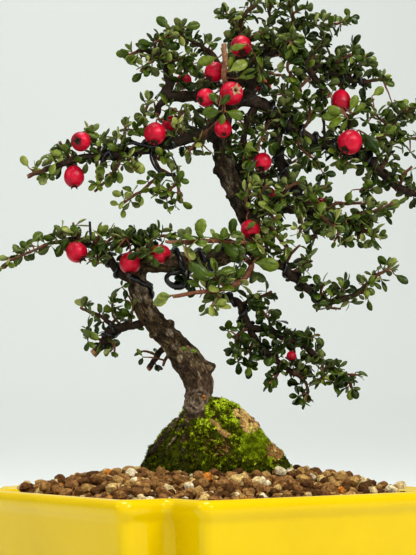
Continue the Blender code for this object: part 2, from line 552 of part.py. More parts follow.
# Each leafy branch: its stem, its twigs, and how much of the stem's start is bare
BRANCHES = {
    "branch_low_left": dict(
        bare=0.62,
        stem=((-24.0, 58.4, 0, 1.7), (-28.5, 56.4, 2, 1.7), (-34.0, 55.2, 5, 1.7),
              (-38.4, 54.2, 7, 1.9), (-40.8, 50.4, 8, 1.9), (-43.0, 47.2, 9, 1.8),
              (-46.0, 44.6, 9, 1.8)),
        twigs=(
            ((-37.0, 55.0, 7, 1.3), (-42.4, 59.2, 9, 1.0), (-47.2, 60.8, 11, 0.8), (-51.0, 63.0, 12, 0.6)),
            ((-41.5, 50.0, 8, 0.8), (-45.2, 50.8, 6, 0.7), (-48.8, 52.6, 5, 0.6)),
            ((-40.0, 51.6, 8, 0.7), (-37.6, 48.0, 6, 0.6), (-37.4, 45.0, 5, 0.5)),
            ((-35.0, 55.4, 6, 0.7), (-38.2, 60.6, 3, 0.6), (-38.2, 65.0, 2, 0.5)),
            ((-31.5, 55.8, 4, 0.7), (-30.6, 60.0, 0, 0.6), (-29.8, 64.0, -2, 0.5)),
        ),
    ),
    "branch_stub_low": dict(
        bare=0.5,
        stem=((-15.5, 48.6, 4, 1.2), (-18.8, 45.8, 8, 1.2), (-21.2, 42.2, 11, 1.2), (-23.6, 38.4, 12, 1.1)),
        twigs=(((-20.2, 43.8, 10, 0.7), (-23.6, 45.2, 11, 0.6), (-26.4, 45.4, 11, 0.5)),),
    ),
    "branch_mid_left": dict(
        bare=0.28,
        stem=((-28.5, 73.0, 1, 2.0), (-34.8, 76.8, 2, 1.9), (-40.4, 83.2, 2, 1.7),
              (-46.8, 87.6, 2, 1.4), (-52.8, 90.0, 1, 1.2), (-59.2, 89.4, 0, 1.0),
              (-64.8, 88.0, -1, 0.8), (-72.0, 84.8, -3, 0.7), (-78.8, 82.0, -4, 0.6),
              (-82.2, 78.8, -5, 0.5)),
        twigs=(
            ((-40.4, 83.2, 2, 0.9), (-44.0, 82.2, 8, 0.7), (-47.0, 81.4, 12, 0.6)),
            ((-46.8, 87.6, 2, 0.9), (-44.6, 89.6, -4, 0.7), (-43.4, 92.4, -8, 0.6)),
            ((-50.8, 89.4, 1, 0.9), (-53.0, 93.4, -1, 0.7), (-54.0, 97.0, -2, 0.6)),
            ((-56.0, 89.6, 0, 0.8), (-58.0, 92.0, 5, 0.7), (-58.4, 94.4, 9, 0.6)),
            ((-44.0, 85.8, 2, 0.8), (-44.4, 82.4, -3, 0.6), (-43.6, 80.6, -6, 0.5)),
        ),
    ),
    "branch_elbow": dict(
        bare=0.15,
        stem=((-25.5, 82.0, 0, 1.3), (-27.6, 87.6, -2, 1.2), (-31.6, 90.2, -5, 1.0),
              (-36.8, 91.4, -8, 0.8), (-41.0, 88.6, -12, 0.6)),
        twigs=(
            ((-27.2, 87.0, -2, 1.0), (-23.2, 90.4, -6, 0.8), (-19.0, 91.6, -9, 0.7), (-15.2, 91.8, -10, 0.6)),
            ((-31.6, 90.2, -5, 0.8), (-34.0, 90.0, -14, 0.6), (-35.6, 87.4, -18, 0.5)),
            ((-27.6, 87.6, -2, 0.8), (-26.6, 87.0, -10, 0.7), (-24.6, 84.0, -17, 0.5)),
            ((-27.6, 87.6, -2, 0.8), (-30.4, 91.4, 5, 0.7), (-33.0, 92.6, 10, 0.5)),
            ((-22.4, 90.6, -6, 0.7), (-23.6, 86.8, -14, 0.5)),
        ),
    ),
    "branch_high_left": dict(
        bare=0.16,
        stem=((4.6, 135.6, 0, 2.4), (-1.0, 132.8, 0, 2.4), (-8.8, 130.4, 0, 2.2),
              (-16.8, 128.0, 0, 2.1), (-24.8, 126.4, 0, 2.0), (-35.6, 124.0, 0, 1.8),
              (-49.2, 123.2, -1, 1.5), (-56.8, 121.2, -2, 1.3), (-65.6, 118.0, -4, 1.1),
              (-72.2, 115.4, -6, 0.9)),
        twigs=(
            ((-35.6, 124.0, 0, 0.9), (-34.0, 130.2, -3, 0.7), (-32.8, 136.0, -5, 0.6)),
            ((-23.0, 127.0, 0, 0.9), (-25.2, 134.4, 4, 0.8), (-25.2, 140.4, 6, 0.7), (-23.8, 145.6, 7, 0.6)),
            ((-43.2, 123.6, 0, 0.9), (-44.4, 129.6, 2, 0.7), (-47.8, 133.4, 4, 0.6)),
            ((-40.0, 124.0, 0, 0.8), (-38.6, 128.0, 6, 0.7), (-37.6, 131.0, 11, 0.6)),
            ((-55.0, 121.8, -2, 0.8), (-57.4, 126.4, 1, 0.7), (-59.4, 129.4, 2, 0.6)),
            ((-30.0, 125.4, 0, 0.8), (-32.0, 120.8, -4, 0.7), (-29.0, 118.0, -7, 0.6)),
            ((-34.4, 124.0, 0, 0.9), (-37.2, 117.6, -2, 0.8), (-41.2, 113.2, -3, 0.7), (-45.4, 109.4, -4, 0.7)),
            ((-1.6, 132.8, 0, 0.9), (-5.4, 127.8, -4, 0.7), (-8.0, 125.0, -6, 0.6)),
            ((-10.0, 130.8, 0, 1.0), (-12.4, 137.0, -2, 0.8), (-9.2, 142.2, -4, 0.6)),
            ((-13.0, 129.4, 0, 0.9), (-14.0, 132.0, 8, 0.8), (-13.0, 136.4, 14, 0.6)),
            ((-21.0, 127.0, 0, 1.2), (-21.6, 122.6, -1, 1.1), (-19.6, 118.8, -2, 1.0), (-16.6, 117.0, -3, 0.9),
             (-12.8, 114.8, -4, 0.8), (-11.6, 108.4, -5, 0.7)),
            ((-18.0, 117.8, -2, 0.9), (-25.2, 110.8, -4, 0.7), (-30.4, 107.4, -5, 0.7), (-35.4, 103.2, -6, 0.6)),
            ((-12.0, 113.0, -4, 0.7), (-16.4, 109.6, -6, 0.6), (-19.6, 108.6, -7, 0.5)),
            ((-60.0, 120.2, -3, 0.7), (-62.0, 122.4, 2, 0.5)),
        ),
    ),
    "branch_upper_left": dict(
        bare=0.45,
        stem=((6.6, 144.4, 1, 2.4), (0.0, 147.2, 4, 2.4), (-9.2, 147.4, 4, 2.4), (-16.4, 147.8, 4, 2.3),
              (-15.2, 153.4, 3, 2.0), (-18.0, 161.2, 2, 1.7), (-21.4, 164.4, 1, 1.4), (-26.2, 166.2, 0, 1.0),
              (-31.6, 163.8, -1, 0.7)),
        twigs=(
            ((-15.4, 147.4, 4, 1.7), (-19.4, 144.0, 4, 1.5), (-20.6, 139.8, 3, 1.2)),
            ((-21.4, 164.4, 1, 0.9), (-20.4, 169.6, -1, 0.7), (-15.0, 171.8, -3, 0.6)),
            ((-17.4, 160.2, 2, 0.9), (-12.0, 162.2, 0, 0.7), (-6.8, 163.2, -2, 0.6)),
            ((-15.2, 152.0, 3, 0.9), (-10.4, 155.2, 2, 0.7), (-8.8, 159.2, 1, 0.6)),
            ((-20.0, 163.4, 1, 0.9), (-24.0, 160.6, -5, 0.7), (-27.0, 157.4, -8, 0.6)),
            ((-18.0, 161.2, 2, 0.9), (-17.6, 164.4, 9, 0.7), (-20.0, 166.0, 15, 0.6)),
            ((-7.2, 147.4, 4, 0.9), (-3.6, 150.6, 10, 0.7), (-1.6, 154.4, 15, 0.6)),
        ),
    ),
    "crown_left": dict(
        bare=0.3,
        stem=((11.6, 146.0, -1, 1.9), (12.6, 151.6, -2, 1.7), (13.8, 157.4, -2, 1.4), (14.0, 163.6, -2, 1.3),
              (12.8, 173.4, -2, 1.1), (14.0, 179.2, -2, 1.0), (19.6, 185.0, -3, 0.9)),
        twigs=(
            ((12.8, 152.4, -2, 1.1), (6.0, 158.8, 2, 1.1), (0.0, 165.8, 2, 1.1), (-7.2, 170.0, 1, 0.9),
             (-14.8, 173.8, 0, 0.8)),
            ((12.4, 151.0, -2, 1.0), (6.8, 153.8, -9, 1.0), (6.6, 161.0, -14, 1.0), (6.4, 168.4, -15, 1.0)),
            ((12.8, 173.4, -2, 0.8), (9.0, 178.4, -5, 0.6), (7.2, 181.0, -7, 0.5)),
            ((13.8, 160.0, -2, 0.9), (19.2, 162.4, -9, 0.7), (20.4, 156.4, -14, 0.6)),
            ((13.4, 168.0, -2, 0.8), (17.6, 171.4, -7, 0.7), (22.0, 173.0, -10, 0.6)),
            ((13.4, 168.0, -2, 0.8), (11.6, 171.4, 6, 0.7), (9.0, 174.6, 12, 0.6)),
        ),
    ),
    "crown_right": dict(
        bare=0.2,
        stem=((13.6, 146.0, 2, 2.0), (17.0, 151.8, 4, 1.9), (19.6, 158.0, 4, 1.8), (24.0, 163.8, 3, 1.8),
              (28.8, 166.8, 2, 1.7), (33.2, 165.6, 1, 1.7), (37.4, 163.4, 0, 1.7), (41.0, 160.2, 0, 1.7),
              (47.8, 157.2, 0, 1.7), (55.6, 154.8, 0, 1.5), (62.4, 153.4, 0, 1.1), (70.0, 155.0, -1, 0.6)),
        twigs=(
            ((29.0, 166.8, 2, 1.5), (32.8, 172.4, 2, 1.3), (34.0, 178.6, 1, 1.0), (32.4, 185.6, 0, 0.9)),
            ((33.4, 175.2, 2, 0.9), (40.0, 176.0, 0, 0.8), (46.0, 175.8, -2, 0.7), (53.6, 177.2, -4, 0.6)),
            ((24.0, 163.8, 3, 1.0), (22.8, 171.2, 2, 0.8), (24.8, 178.2, 1, 0.7), (24.0, 183.0, 0, 0.6)),
            ((37.4, 163.0, 0, 1.5), (40.8, 157.2, -2, 1.5), (45.0, 152.2, -3, 1.4), (48.8, 147.6, -3, 1.2)),
            ((48.8, 157.0, 0, 0.8), (52.8, 162.0, -3, 0.7), (58.4, 164.4, -5, 0.6)),
            ((40.4, 161.0, 0, 0.8), (44.4, 167.4, 3, 0.7), (46.8, 170.0, 5, 0.6)),
            ((33.2, 166.0, 1, 0.9), (32.4, 169.4, -8, 0.7), (33.6, 168.0, -14, 0.6)),
            ((33.2, 165.6, 1, 0.8), (32.0, 159.4, -6, 0.7), (33.6, 154.8, -10, 0.6)),
            ((24.0, 163.8, 3, 0.9), (26.0, 167.4, 12, 0.7), (27.6, 171.4, 20, 0.6)),
            ((47.8, 157.2, 0, 0.8), (50.4, 160.4, 8, 0.7), (54.0, 163.6, 13, 0.6)),
            ((41.6, 156.2, -2, 0.8), (36.8, 150.8, -4, 0.7), (34.4, 147.2, -5, 0.6)),
            ((56.0, 154.8, 0, 0.8), (58.8, 158.8, 3, 0.7), (61.6, 161.0, 5, 0.6)),
        ),
    ),
    "crown_back": dict(
        bare=0.3,
        stem=((8.6, 143.0, 2, 1.7), (8.0, 149.6, 13, 1.5), (13.6, 156.4, 23, 1.3), (19.0, 162.0, 31, 1.0),
              (23.6, 168.6, 38, 0.6)),
        twigs=(
            ((8.4, 150.4, 14, 0.9), (1.6, 154.4, 23, 0.7), (-4.2, 157.2, 31, 0.6)),
            ((13.6, 156.4, 23, 0.9), (11.0, 161.2, 34, 0.7), (7.6, 164.0, 43, 0.6)),
            ((16.0, 159.0, 27, 0.9), (23.4, 157.0, 35, 0.7), (31.0, 155.2, 41, 0.6)),
            ((19.0, 162.0, 31, 0.8), (27.4, 163.8, 35, 0.7), (36.0, 162.4, 38, 0.6)),
            ((9.8, 152.0, 16, 0.9), (17.0, 152.4, 18, 0.7), (24.4, 150.6, 24, 0.6)),
        ),
    ),
    "branch_right": dict(
        bare=0.1,
        stem=((16.4, 145.8, -1, 2.9), (20.4, 144.6, -1, 2.9), (24.8, 142.0, -1, 2.7), (29.2, 138.4, 0, 2.5),
              (37.2, 132.4, 0, 2.3), (45.2, 128.8, 0, 2.3), (53.2, 126.4, 0, 2.3), (60.8, 124.4, 0, 2.2),
              (68.8, 117.6, 0, 1.9), (76.8, 110.8, -1, 1.6), (83.2, 108.4, -1, 1.4), (86.8, 107.4, -2, 1.0)),
        twigs=(
            ((28.6, 138.6, 0, 2.0), (28.4, 133.6, 1, 1.9), (27.4, 128.0, 2, 2.0), (28.2, 123.6, 3, 2.0),
             (31.2, 115.0, 5, 2.0), (35.6, 108.6, 7, 2.0), (40.0, 100.4, 8, 2.2), (44.4, 93.0, 8, 1.8)),
            ((29.6, 138.6, 0, 0.9), (31.6, 143.6, 3, 0.8), (30.2, 149.4, 4, 0.6)),
            ((37.2, 132.8, 0, 0.9), (40.4, 138.6, -2, 0.8), (40.6, 145.0, -3, 0.6)),
            ((52.8, 127.0, 0, 1.0), (55.6, 134.0, 5, 0.9), (58.4, 140.6, 6, 0.8), (63.2, 144.4, 6, 0.6)),
            ((47.0, 128.6, 0, 0.9), (46.6, 134.0, 4, 0.7), (45.8, 139.0, 6, 0.6)),
            ((62.0, 123.8, 0, 1.0), (66.0, 129.6, -3, 0.8), (71.6, 132.8, -5, 0.6)),
            ((69.0, 117.6, 0, 1.1), (73.0, 127.0, 3, 1.0), (74.0, 136.0, 3, 0.9), (78.4, 141.2, 2, 0.7),
             (84.2, 144.2, 1, 0.6)),
            ((73.2, 128.4, 3, 0.8), (78.8, 130.0, 0, 0.7), (84.0, 130.8, -2, 0.6)),
            ((73.8, 134.0, 3, 0.7), (69.4, 138.0, 0, 0.6), (67.0, 140.0, -2, 0.5)),
            ((76.4, 111.2, -1, 0.8), (78.4, 116.4, -3, 0.7), (81.6, 119.4, -4, 0.6)),
            ((67.6, 118.4, 0, 0.9), (66.0, 113.8, -1, 0.8), (63.6, 109.6, -2, 0.6)),
            ((52.0, 126.6, 0, 0.8), (53.6, 122.4, -4, 0.6), (56.4, 121.0, -6, 0.5)),
            ((35.4, 133.6, 0, 0.9), (36.4, 127.6, -3, 0.7), (42.4, 122.4, -5, 0.6)),
            ((34.0, 134.8, 0, 0.9), (35.0, 137.4, 9, 0.7), (36.0, 139.4, 16, 0.6)),
            ((58.0, 125.4, 0, 0.9), (60.4, 128.4, 9, 0.7), (63.0, 130.4, 15, 0.6)),
            ((37.0, 106.0, 7, 0.9), (38.8, 108.6, 16, 0.8), (42.4, 109.8, 23, 0.6)),
            ((40.0, 100.4, 8, 0.9), (45.2, 100.0, 15, 0.7), (51.4, 98.8, 20, 0.6)),
            ((43.0, 95.4, 8, 0.8), (42.4, 91.8, 3, 0.6), (39.6, 90.4, 0, 0.5)),
            ((20.4, 144.6, -1, 1.6), (16.2, 138.8, -1, 1.5), (14.6, 131.8, -2, 1.4), (15.6, 124.4, -3, 1.0),
             (18.4, 117.6, -5, 0.7)),
            ((24.8, 142.0, -1, 0.9), (23.4, 135.0, -3, 0.8), (20.2, 128.4, -4, 0.6)),
            ((15.2, 134.4, -2, 0.8), (19.4, 137.4, 3, 0.7), (22.6, 139.4, 6, 0.6)),
        ),
    ),
    "branch_mid_right": dict(
        bare=0.08,
        stem=((14.0, 98.6, -1, 1.8), (20.4, 100.2, -3, 1.8), (28.8, 103.2, -4, 1.7), (36.8, 101.2, -5, 1.5),
              (44.0, 99.6, -5, 1.3), (52.8, 97.2, -5, 1.2), (60.8, 94.6, -5, 1.1), (68.4, 91.6, -5, 1.0)),
        twigs=(
            ((21.6, 100.8, -3, 0.9), (20.8, 107.4, -6, 0.8), (23.6, 112.4, -8, 0.6)),
            ((28.8, 103.2, -4, 0.9), (31.0, 110.0, -8, 0.8), (36.4, 113.2, -10, 0.6)),
            ((36.8, 101.2, -5, 0.9), (42.0, 107.4, -7, 0.8), (47.2, 111.6, -8, 0.6)),
            ((44.0, 99.6, -5, 0.9), (50.8, 104.4, -6, 0.8), (56.8, 104.6, -7, 0.7), (63.2, 104.8, -8, 0.6)),
            ((52.8, 97.2, -5, 0.8), (61.6, 100.4, -7, 0.7), (69.6, 102.4, -9, 0.7), (73.8, 105.0, -10, 0.6)),
            ((21.0, 100.0, -3, 0.9), (25.4, 94.4, -8, 0.8), (28.8, 90.0, -11, 0.7), (31.4, 86.6, -12, 0.6)),
            ((26.0, 102.0, -4, 0.8), (24.6, 100.4, -13, 0.7), (27.4, 98.4, -19, 0.6)),
            ((36.0, 101.4, -5, 0.8), (37.4, 97.0, -11, 0.7), (36.2, 92.4, -14, 0.6)),
            ((44.0, 99.6, -5, 0.8), (46.8, 98.4, -14, 0.7), (51.0, 95.4, -18, 0.6)),
            ((52.0, 97.4, -5, 0.8), (52.0, 92.4, -8, 0.6), (50.4, 89.6, -10, 0.5)),
            ((60.0, 95.0, -5, 0.7), (61.4, 97.6, 2, 0.6), (65.0, 99.0, 6, 0.5)),
            ((16.8, 99.2, -3, 0.9), (15.2, 106.0, -7, 0.8), (16.8, 113.4, -8, 0.6)),
            ((20.2, 100.0, -3, 0.9), (20.8, 94.0, -7, 0.8), (22.8, 88.4, -9, 0.7), (25.2, 84.6, -9, 0.6)),
        ),
    ),
    "branch_low_right": dict(
        bare=0.42,
        stem=((15.4, 86.2, -1, 1.6), (22.0, 80.8, -3, 1.6), (29.2, 79.8, -4, 1.8), (33.2, 76.0, -4, 1.8),
              (39.2, 71.2, -5, 1.8), (45.2, 66.8, -5, 1.6), (50.8, 65.6, -5, 1.3), (58.0, 68.0, -6, 1.1),
              (63.2, 71.6, -6, 1.0), (67.2, 75.6, -7, 0.8), (72.8, 78.4, -8, 0.6)),
        twigs=(
            ((30.4, 79.2, -4, 0.8), (33.4, 84.6, -8, 0.7), (37.0, 87.8, -10, 0.6)),
            ((33.2, 76.6, -4, 0.8), (37.8, 79.8, 1, 0.7), (41.6, 81.6, 4, 0.6)),
            ((45.2, 67.0, -5, 0.8), (46.0, 71.2, -8, 0.7), (48.8, 73.8, -10, 0.6)),
            ((50.8, 65.8, -5, 0.8), (53.6, 69.2, 0, 0.7), (54.4, 72.8, 4, 0.6)),
            ((48.0, 66.2, -5, 0.7), (49.0, 63.0, 0, 0.6), (53.0, 62.6, 3, 0.5)),
        ),
    ),
    "branch_drop": dict(
        bare=0.5,
        stem=((-1.2, 79.6, 2, 1.6), (0.0, 72.6, 6, 1.5), (4.0, 67.8, 7, 1.4), (8.2, 67.0, 7, 1.4),
              (12.4, 64.8, 7, 1.6), (15.0, 58.8, 8, 1.9), (16.8, 54.8, 8, 1.7), (24.4, 54.2, 8, 1.5),
              (30.4, 50.8, 8, 1.3), (39.2, 47.2, 7, 1.2), (42.8, 43.6, 7, 1.1), (48.4, 40.2, 6, 1.0),
              (55.2, 34.4, 5, 0.8), (57.8, 30.6, 5, 0.7)),
        twigs=(
            ((16.6, 54.4, 8, 1.5), (21.0, 46.8, 7, 1.4), (26.4, 42.8, 6, 1.3), (36.4, 35.4, 5, 1.0),
             (39.6, 32.0, 4, 0.8), (39.8, 28.2, 4, 0.6)),
            ((29.2, 40.8, 6, 0.9), (27.6, 36.4, 3, 0.7), (24.6, 32.6, 1, 0.6)),
            ((16.2, 54.8, 8, 0.9), (11.6, 51.6, 5, 0.8), (11.4, 45.6, 3, 0.6)),
            ((18.6, 50.6, 8, 0.9), (17.0, 46.0, 10, 0.7), (17.4, 42.0, 12, 0.6)),
            ((13.0, 64.0, 7, 0.9), (21.0, 67.2, 9, 0.8), (25.4, 69.4, 11, 0.6)),
            ((18.6, 66.4, 8, 0.8), (22.0, 61.6, 6, 0.7), (24.4, 58.8, 4, 0.6)),
            ((38.4, 47.6, 7, 0.8), (41.4, 51.2, 5, 0.6), (44.8, 52.0, 4, 0.5)),
            ((30.4, 50.8, 8, 0.8), (33.4, 50.4, 15, 0.7), (37.8, 48.6, 19, 0.6)),
            ((30.2, 40.0, 6, 0.8), (34.6, 40.6, 13, 0.7), (39.6, 39.4, 18, 0.6)),
            ((46.0, 41.6, 6, 0.7), (45.8, 36.4, 3, 0.6), (44.6, 33.0, 1, 0.5)),
            ((50.8, 38.2, 6, 0.7), (56.0, 36.4, 3, 0.6), (60.0, 36.0, 1, 0.5)),
        ),
    ),
    "shoot_front_upper": dict(
        bare=0.2,
        stem=((16.2, 89.6, -1, 1.0), (20.8, 89.0, -8, 1.0), (12.8, 88.8, -16, 1.0), (0.8, 89.6, -23, 1.0),
              (-9.2, 89.2, -28, 0.9), (-17.0, 89.4, -31, 0.7)),
        twigs=(),
    ),
    "shoot_front_lower": dict(
        bare=0.2,
        stem=((11.4, 85.0, -1, 1.2), (17.2, 80.4, -9, 1.2), (15.2, 75.6, -14, 1.2), (7.6, 70.8, -20, 1.1),
              (-2.4, 69.2, -26, 1.0), (-14.0, 67.4, -31, 0.9)),
        twigs=(
            ((7.6, 71.0, -20, 0.8), (2.4, 75.2, -25, 0.6), (-1.6, 77.8, -28, 0.5)),
            ((4.0, 70.2, -22, 0.7), (3.2, 66.0, -24, 0.6), (1.2, 62.8, -26, 0.5)),
        ),
    ),
    "branch_back_middle": dict(
        bare=0.3,
        stem=((6.2, 118.0, 2, 1.7), (10.6, 119.4, 14, 1.5), (17.2, 116.4, 25, 1.3), (24.0, 113.8, 35, 1.0),
              (30.6, 108.6, 43, 0.6)),
        twigs=(
            ((12.4, 118.8, 17, 0.9), (13.6, 123.6, 27, 0.7), (16.4, 127.2, 36, 0.6)),
            ((17.2, 116.4, 25, 0.9), (15.6, 112.4, 36, 0.7), (17.0, 108.8, 45, 0.6)),
            ((21.0, 115.0, 30, 0.8), (28.8, 118.6, 34, 0.7), (35.4, 122.0, 36, 0.6)),
            ((13.0, 118.4, 18, 0.8), (19.8, 108.0, 20, 0.7), (25.6, 102.8, 24, 0.6)),
        ),
    ),
    "branch_back_left": dict(
        bare=0.3,
        stem=((5.4, 128.0, 2, 1.6), (-1.0, 131.8, 15, 1.4), (-8.2, 135.4, 26, 1.1), (-14.4, 139.4, 36, 0.6)),
        twigs=(
            ((-2.4, 132.6, 17, 0.9), (0.4, 137.4, 27, 0.7), (-1.6, 141.8, 36, 0.6)),
            ((-8.2, 135.4, 26, 0.8), (-14.6, 133.4, 31, 0.7), (-22.0, 131.6, 34, 0.6)),
        ),
    ),
    "sprig_trunk": dict(
        bare=0.3,
        stem=((-9.0, 47.4, -4.4, 0.6), (-8.8, 47.6, -7.6, 0.6), (-8.0, 47.4, -9.2, 0.5)),
        twigs=(),
    ),
}

# Each berry: across, up, depth, diameter, the way its eye looks and the branch that bears it
BERRIES = {
    "berry_high_left_outer": (-50.8, 129.4, -4, 8.0, (-0.4, -0.25, -0.85), "branch_high_left"),
    "berry_high_left_hanging": (-53.6, 115.4, -2, 8.2, (0.05, -1.0, -0.2), "branch_high_left"),
    "berry_high_left_front": (-21.2, 132.6, -5.6, 8.8, (-0.1, -0.9, -0.4), "branch_high_left"),
    "berry_high_left_rear": (-15.0, 136.4, 3.2, 6.6, (0.9, 0.1, -0.3), "branch_high_left"),
    "berry_crown_left": (13.2, 167.6, -9, 8.5, (0.1, -0.8, -0.6), "crown_left"),
    "berry_crown_front": (9.2, 148.6, -12, 9.4, (0.75, -0.1, -0.65), "crown_left"),
    "berry_crown_side": (-0.8, 147.0, -7.6, 7.4, (-0.6, -0.4, -0.6), "crown_left"),
    "berry_crown_dark": (2.6, 157.2, -6.4, 8.0, (-0.5, -0.7, -0.3), "crown_left"),
    "berry_upper_left": (-9.6, 153.6, 12.0, 6.4, (-0.3, -0.8, 0.4), "branch_upper_left"),
    "berry_trunk_front": (6.0, 134.8, -9.4, 7.0, (0.1, -0.8, -0.6), "branch_high_left"),
    "berry_right_upper": (53.2, 145.4, -2, 8.2, (0.0, -0.95, -0.3), "crown_right"),
    "berry_right_large": (56.8, 129.2, -9, 9.7, (-0.5, -0.75, -0.45), "branch_right"),
    "berry_right_inner": (21.8, 121.2, -4, 7.4, (-0.2, -0.8, -0.5), "branch_right"),
    "berry_elbow_left": (-31.2, 80.8, -11.5, 8.4, (0.0, -1.0, -0.2), "branch_elbow"),
    "berry_elbow_right": (-18.8, 84.4, -13.0, 7.4, (0.7, -0.6, -0.4), "branch_elbow"),
    "berry_mid_right": (16.8, 94.2, -10.4, 7.6, (0.2, -0.8, -0.5), "branch_mid_right"),
    "berry_mid_left": (-52.6, 85.2, -5, 8.4, (0.6, -0.7, -0.3), "branch_mid_left"),
    "berry_drop_small": (33.4, 43.6, 4, 4.0, (0.2, -0.9, -0.3), "branch_drop"),
    "berry_back_crown": (21.6, 152.4, 37, 8.0, (0.1, -0.8, 0.6), "crown_back"),
    "berry_back_middle": (24.0, 107.6, 42, 7.6, (0.0, -0.9, 0.4), "branch_back_middle"),
    "berry_back_right": (45.4, 103.2, 24, 7.8, (0.2, -0.9, 0.4), "branch_right"),
}

# Each wire: what it is wound on, where along it as shares of its length, turns and radius
WIRES = {
    "wire_elbow": ("trunk_foot", 0.77, 0.98, -0.8, 1.05),
    "wire_trunk_level": ("trunk_level", 0.30, 0.92, 3.0, 1.0),
    "wire_mid_left": ("branch_mid_left", 0.10, 0.34, 3.0, 0.75),
    "wire_high_left": ("branch_high_left", 0.24, 0.66, 4.0, 0.75),
    "wire_right": ("branch_right", 0.09, 0.72, 7.0, 0.9),
    "wire_right_drop": ("branch_right_drop", 0.16, 0.62, 3.5, 0.8),
    "wire_crown_right": ("crown_right", 0.58, 0.92, 3.5, 0.8),
    "wire_low_right": ("branch_low_right", 0.22, 0.55, 3.0, 0.75),
    "wire_drop": ("branch_drop", 0.16, 0.40, 2.75, 0.75),
    "wire_low_left": ("branch_low_left", 0.44, 0.80, 2.5, 0.7),
}


def trunk_pieces(grow=0.0):
    """The trunk's three runs, its burls and its stump, each closed and grown outwards by grow."""
    pieces = []
    for index, rows in enumerate((TRUNK_FOOT, TRUNK_LEVEL, TRUNK_TOP)):
        route = Route.drawn(rows).smoothed(TRUNK_STEP)
        pieces.append(tube("trunk_run", route, TRUNK_SIDES, grow, rough=0.12, seed=index * 3))
    for shape, rows in ((burl, BURLS), (sawn_stump, (SAWN,))):
        for across, up, depth, way, radius, reach in rows:
            place, outward = seen(across, up, depth), seen_direction(*way)
            pieces.append(shape("stump", place, outward, radius * MM, reach * MM, grow))
    return pieces


def make_trunk(name, grow=0.0):
    first, *others = trunk_pieces(grow)
    first.name = name
    union_all(first, others)
    return first


def wire_route(route, start, end, turns, radius, trees):
    """A coil round a stem, led past twigs and bends by the smallest shifts that keep it clear."""
    reach = radius * 1.12 + GAP
    middle = route.at(route.length * (start + end) / 2)[0]
    scope = route.length * (end - start) + 10 * MM
    close = [tree for tree in trees if tree.find_nearest(middle, scope)[0] is not None]
    shifts = [(lift * MM, slide * MM) for lift in (0, 0.5, 1.1, 1.8) for slide in (0, -1, 1, -2, 2, -3, 3)]
    steps = round(abs(turns) * WIRE_STEPS)
    ways = {}
    side = None
    for k in range(steps + 1):
        share = k / steps
        place, ahead, stem_radius = route.at(route.length * (start + (end - start) * share))
        if side is None:
            side = ahead.orthogonal().normalized()
        side = (side - ahead * side.dot(ahead)).normalized()
        out = Matrix.Rotation(2 * math.pi * turns * share, 3, ahead) @ side
        clear = (stem_radius * 1.04 + radius + WIRE_LIFT) / math.cos(math.pi / WIRE_STEPS)
        found = {}
        for lift, slide in shifts:
            there = place + out * (clear + lift) + ahead * slide
            if not all(is_clear(tree, there, reach) for tree in close):
                continue
            cost = lift + 0.5 * abs(slide)
            if k == 0:
                found[lift, slide] = (cost, [there])
            for (_, before), (spent, path) in sorted(ways.items(), key=lambda way: way[1][0]):
                between = [path[-1].lerp(there, t) for t in (0.25, 0.5, 0.75)]
                if abs(before - slide) < 2.1 * MM and all(
                        is_clear(tree, spot, reach) for spot in between for tree in close):
                    found[lift, slide] = (spent + cost, path + [there])
                    break
        if not found:
            print(f"it ends after {k - 1} of {steps} steps")
            break
        ways = found
    places = min(ways.values(), key=lambda way: way[0])[1]
    return Route(places, [radius] * len(places))


def make_berry(name, across, up, depth, diameter, eye, _branch):
    """A round pome whose eye end is drawn in, with five sepal points standing round it."""
    bm = bmesh.new()
    segments = 8
    bmesh.ops.create_uvsphere(bm, u_segments=segments, v_segments=5, radius=1.04)
    for vertex in bm.verts:
        if vertex.co.z < -0.95:
            vertex.co.z = -0.78
        elif vertex.co.z < -0.6:
            turn = round(math.atan2(vertex.co.y, vertex.co.x) / (2 * math.pi / segments))
            spread, drop = (0.78, 1.16) if turn % 2 == 0 else (0.92, 1.0)
            vertex.co = Vector((vertex.co.x * spread, vertex.co.y * spread, vertex.co.z * drop))
    radius = diameter * MM / 2
    turn = (-seen_direction(*eye)).to_track_quat("Z", "Y").to_matrix().to_4x4()
    place = Matrix.Translation(seen(across, up, depth))
    bmesh.ops.transform(bm, matrix=place @ turn @ Matrix.Scale(radius, 4), verts=bm.verts[:])
    return object_from(bm, name)


def stalk_route(row, routes):
    """From the branch's nearest stem, round to just short of the berry's top."""
    across, up, depth, diameter, eye, _branch = row
    middle, outward = seen(across, up, depth), -seen_direction(*eye)
    radius = diameter * MM / 2
    top = middle + outward * (radius + GAP)
    above = middle + outward * (radius + 2.4 * MM)
    stem = min(routes, key=lambda route: (route.at(route.nearest(above))[0] - above).length)
    root = stem.at(stem.nearest(above))[0]
    return Route([root, above, top], [STALK_RADIUS] * 3)


# Leaves


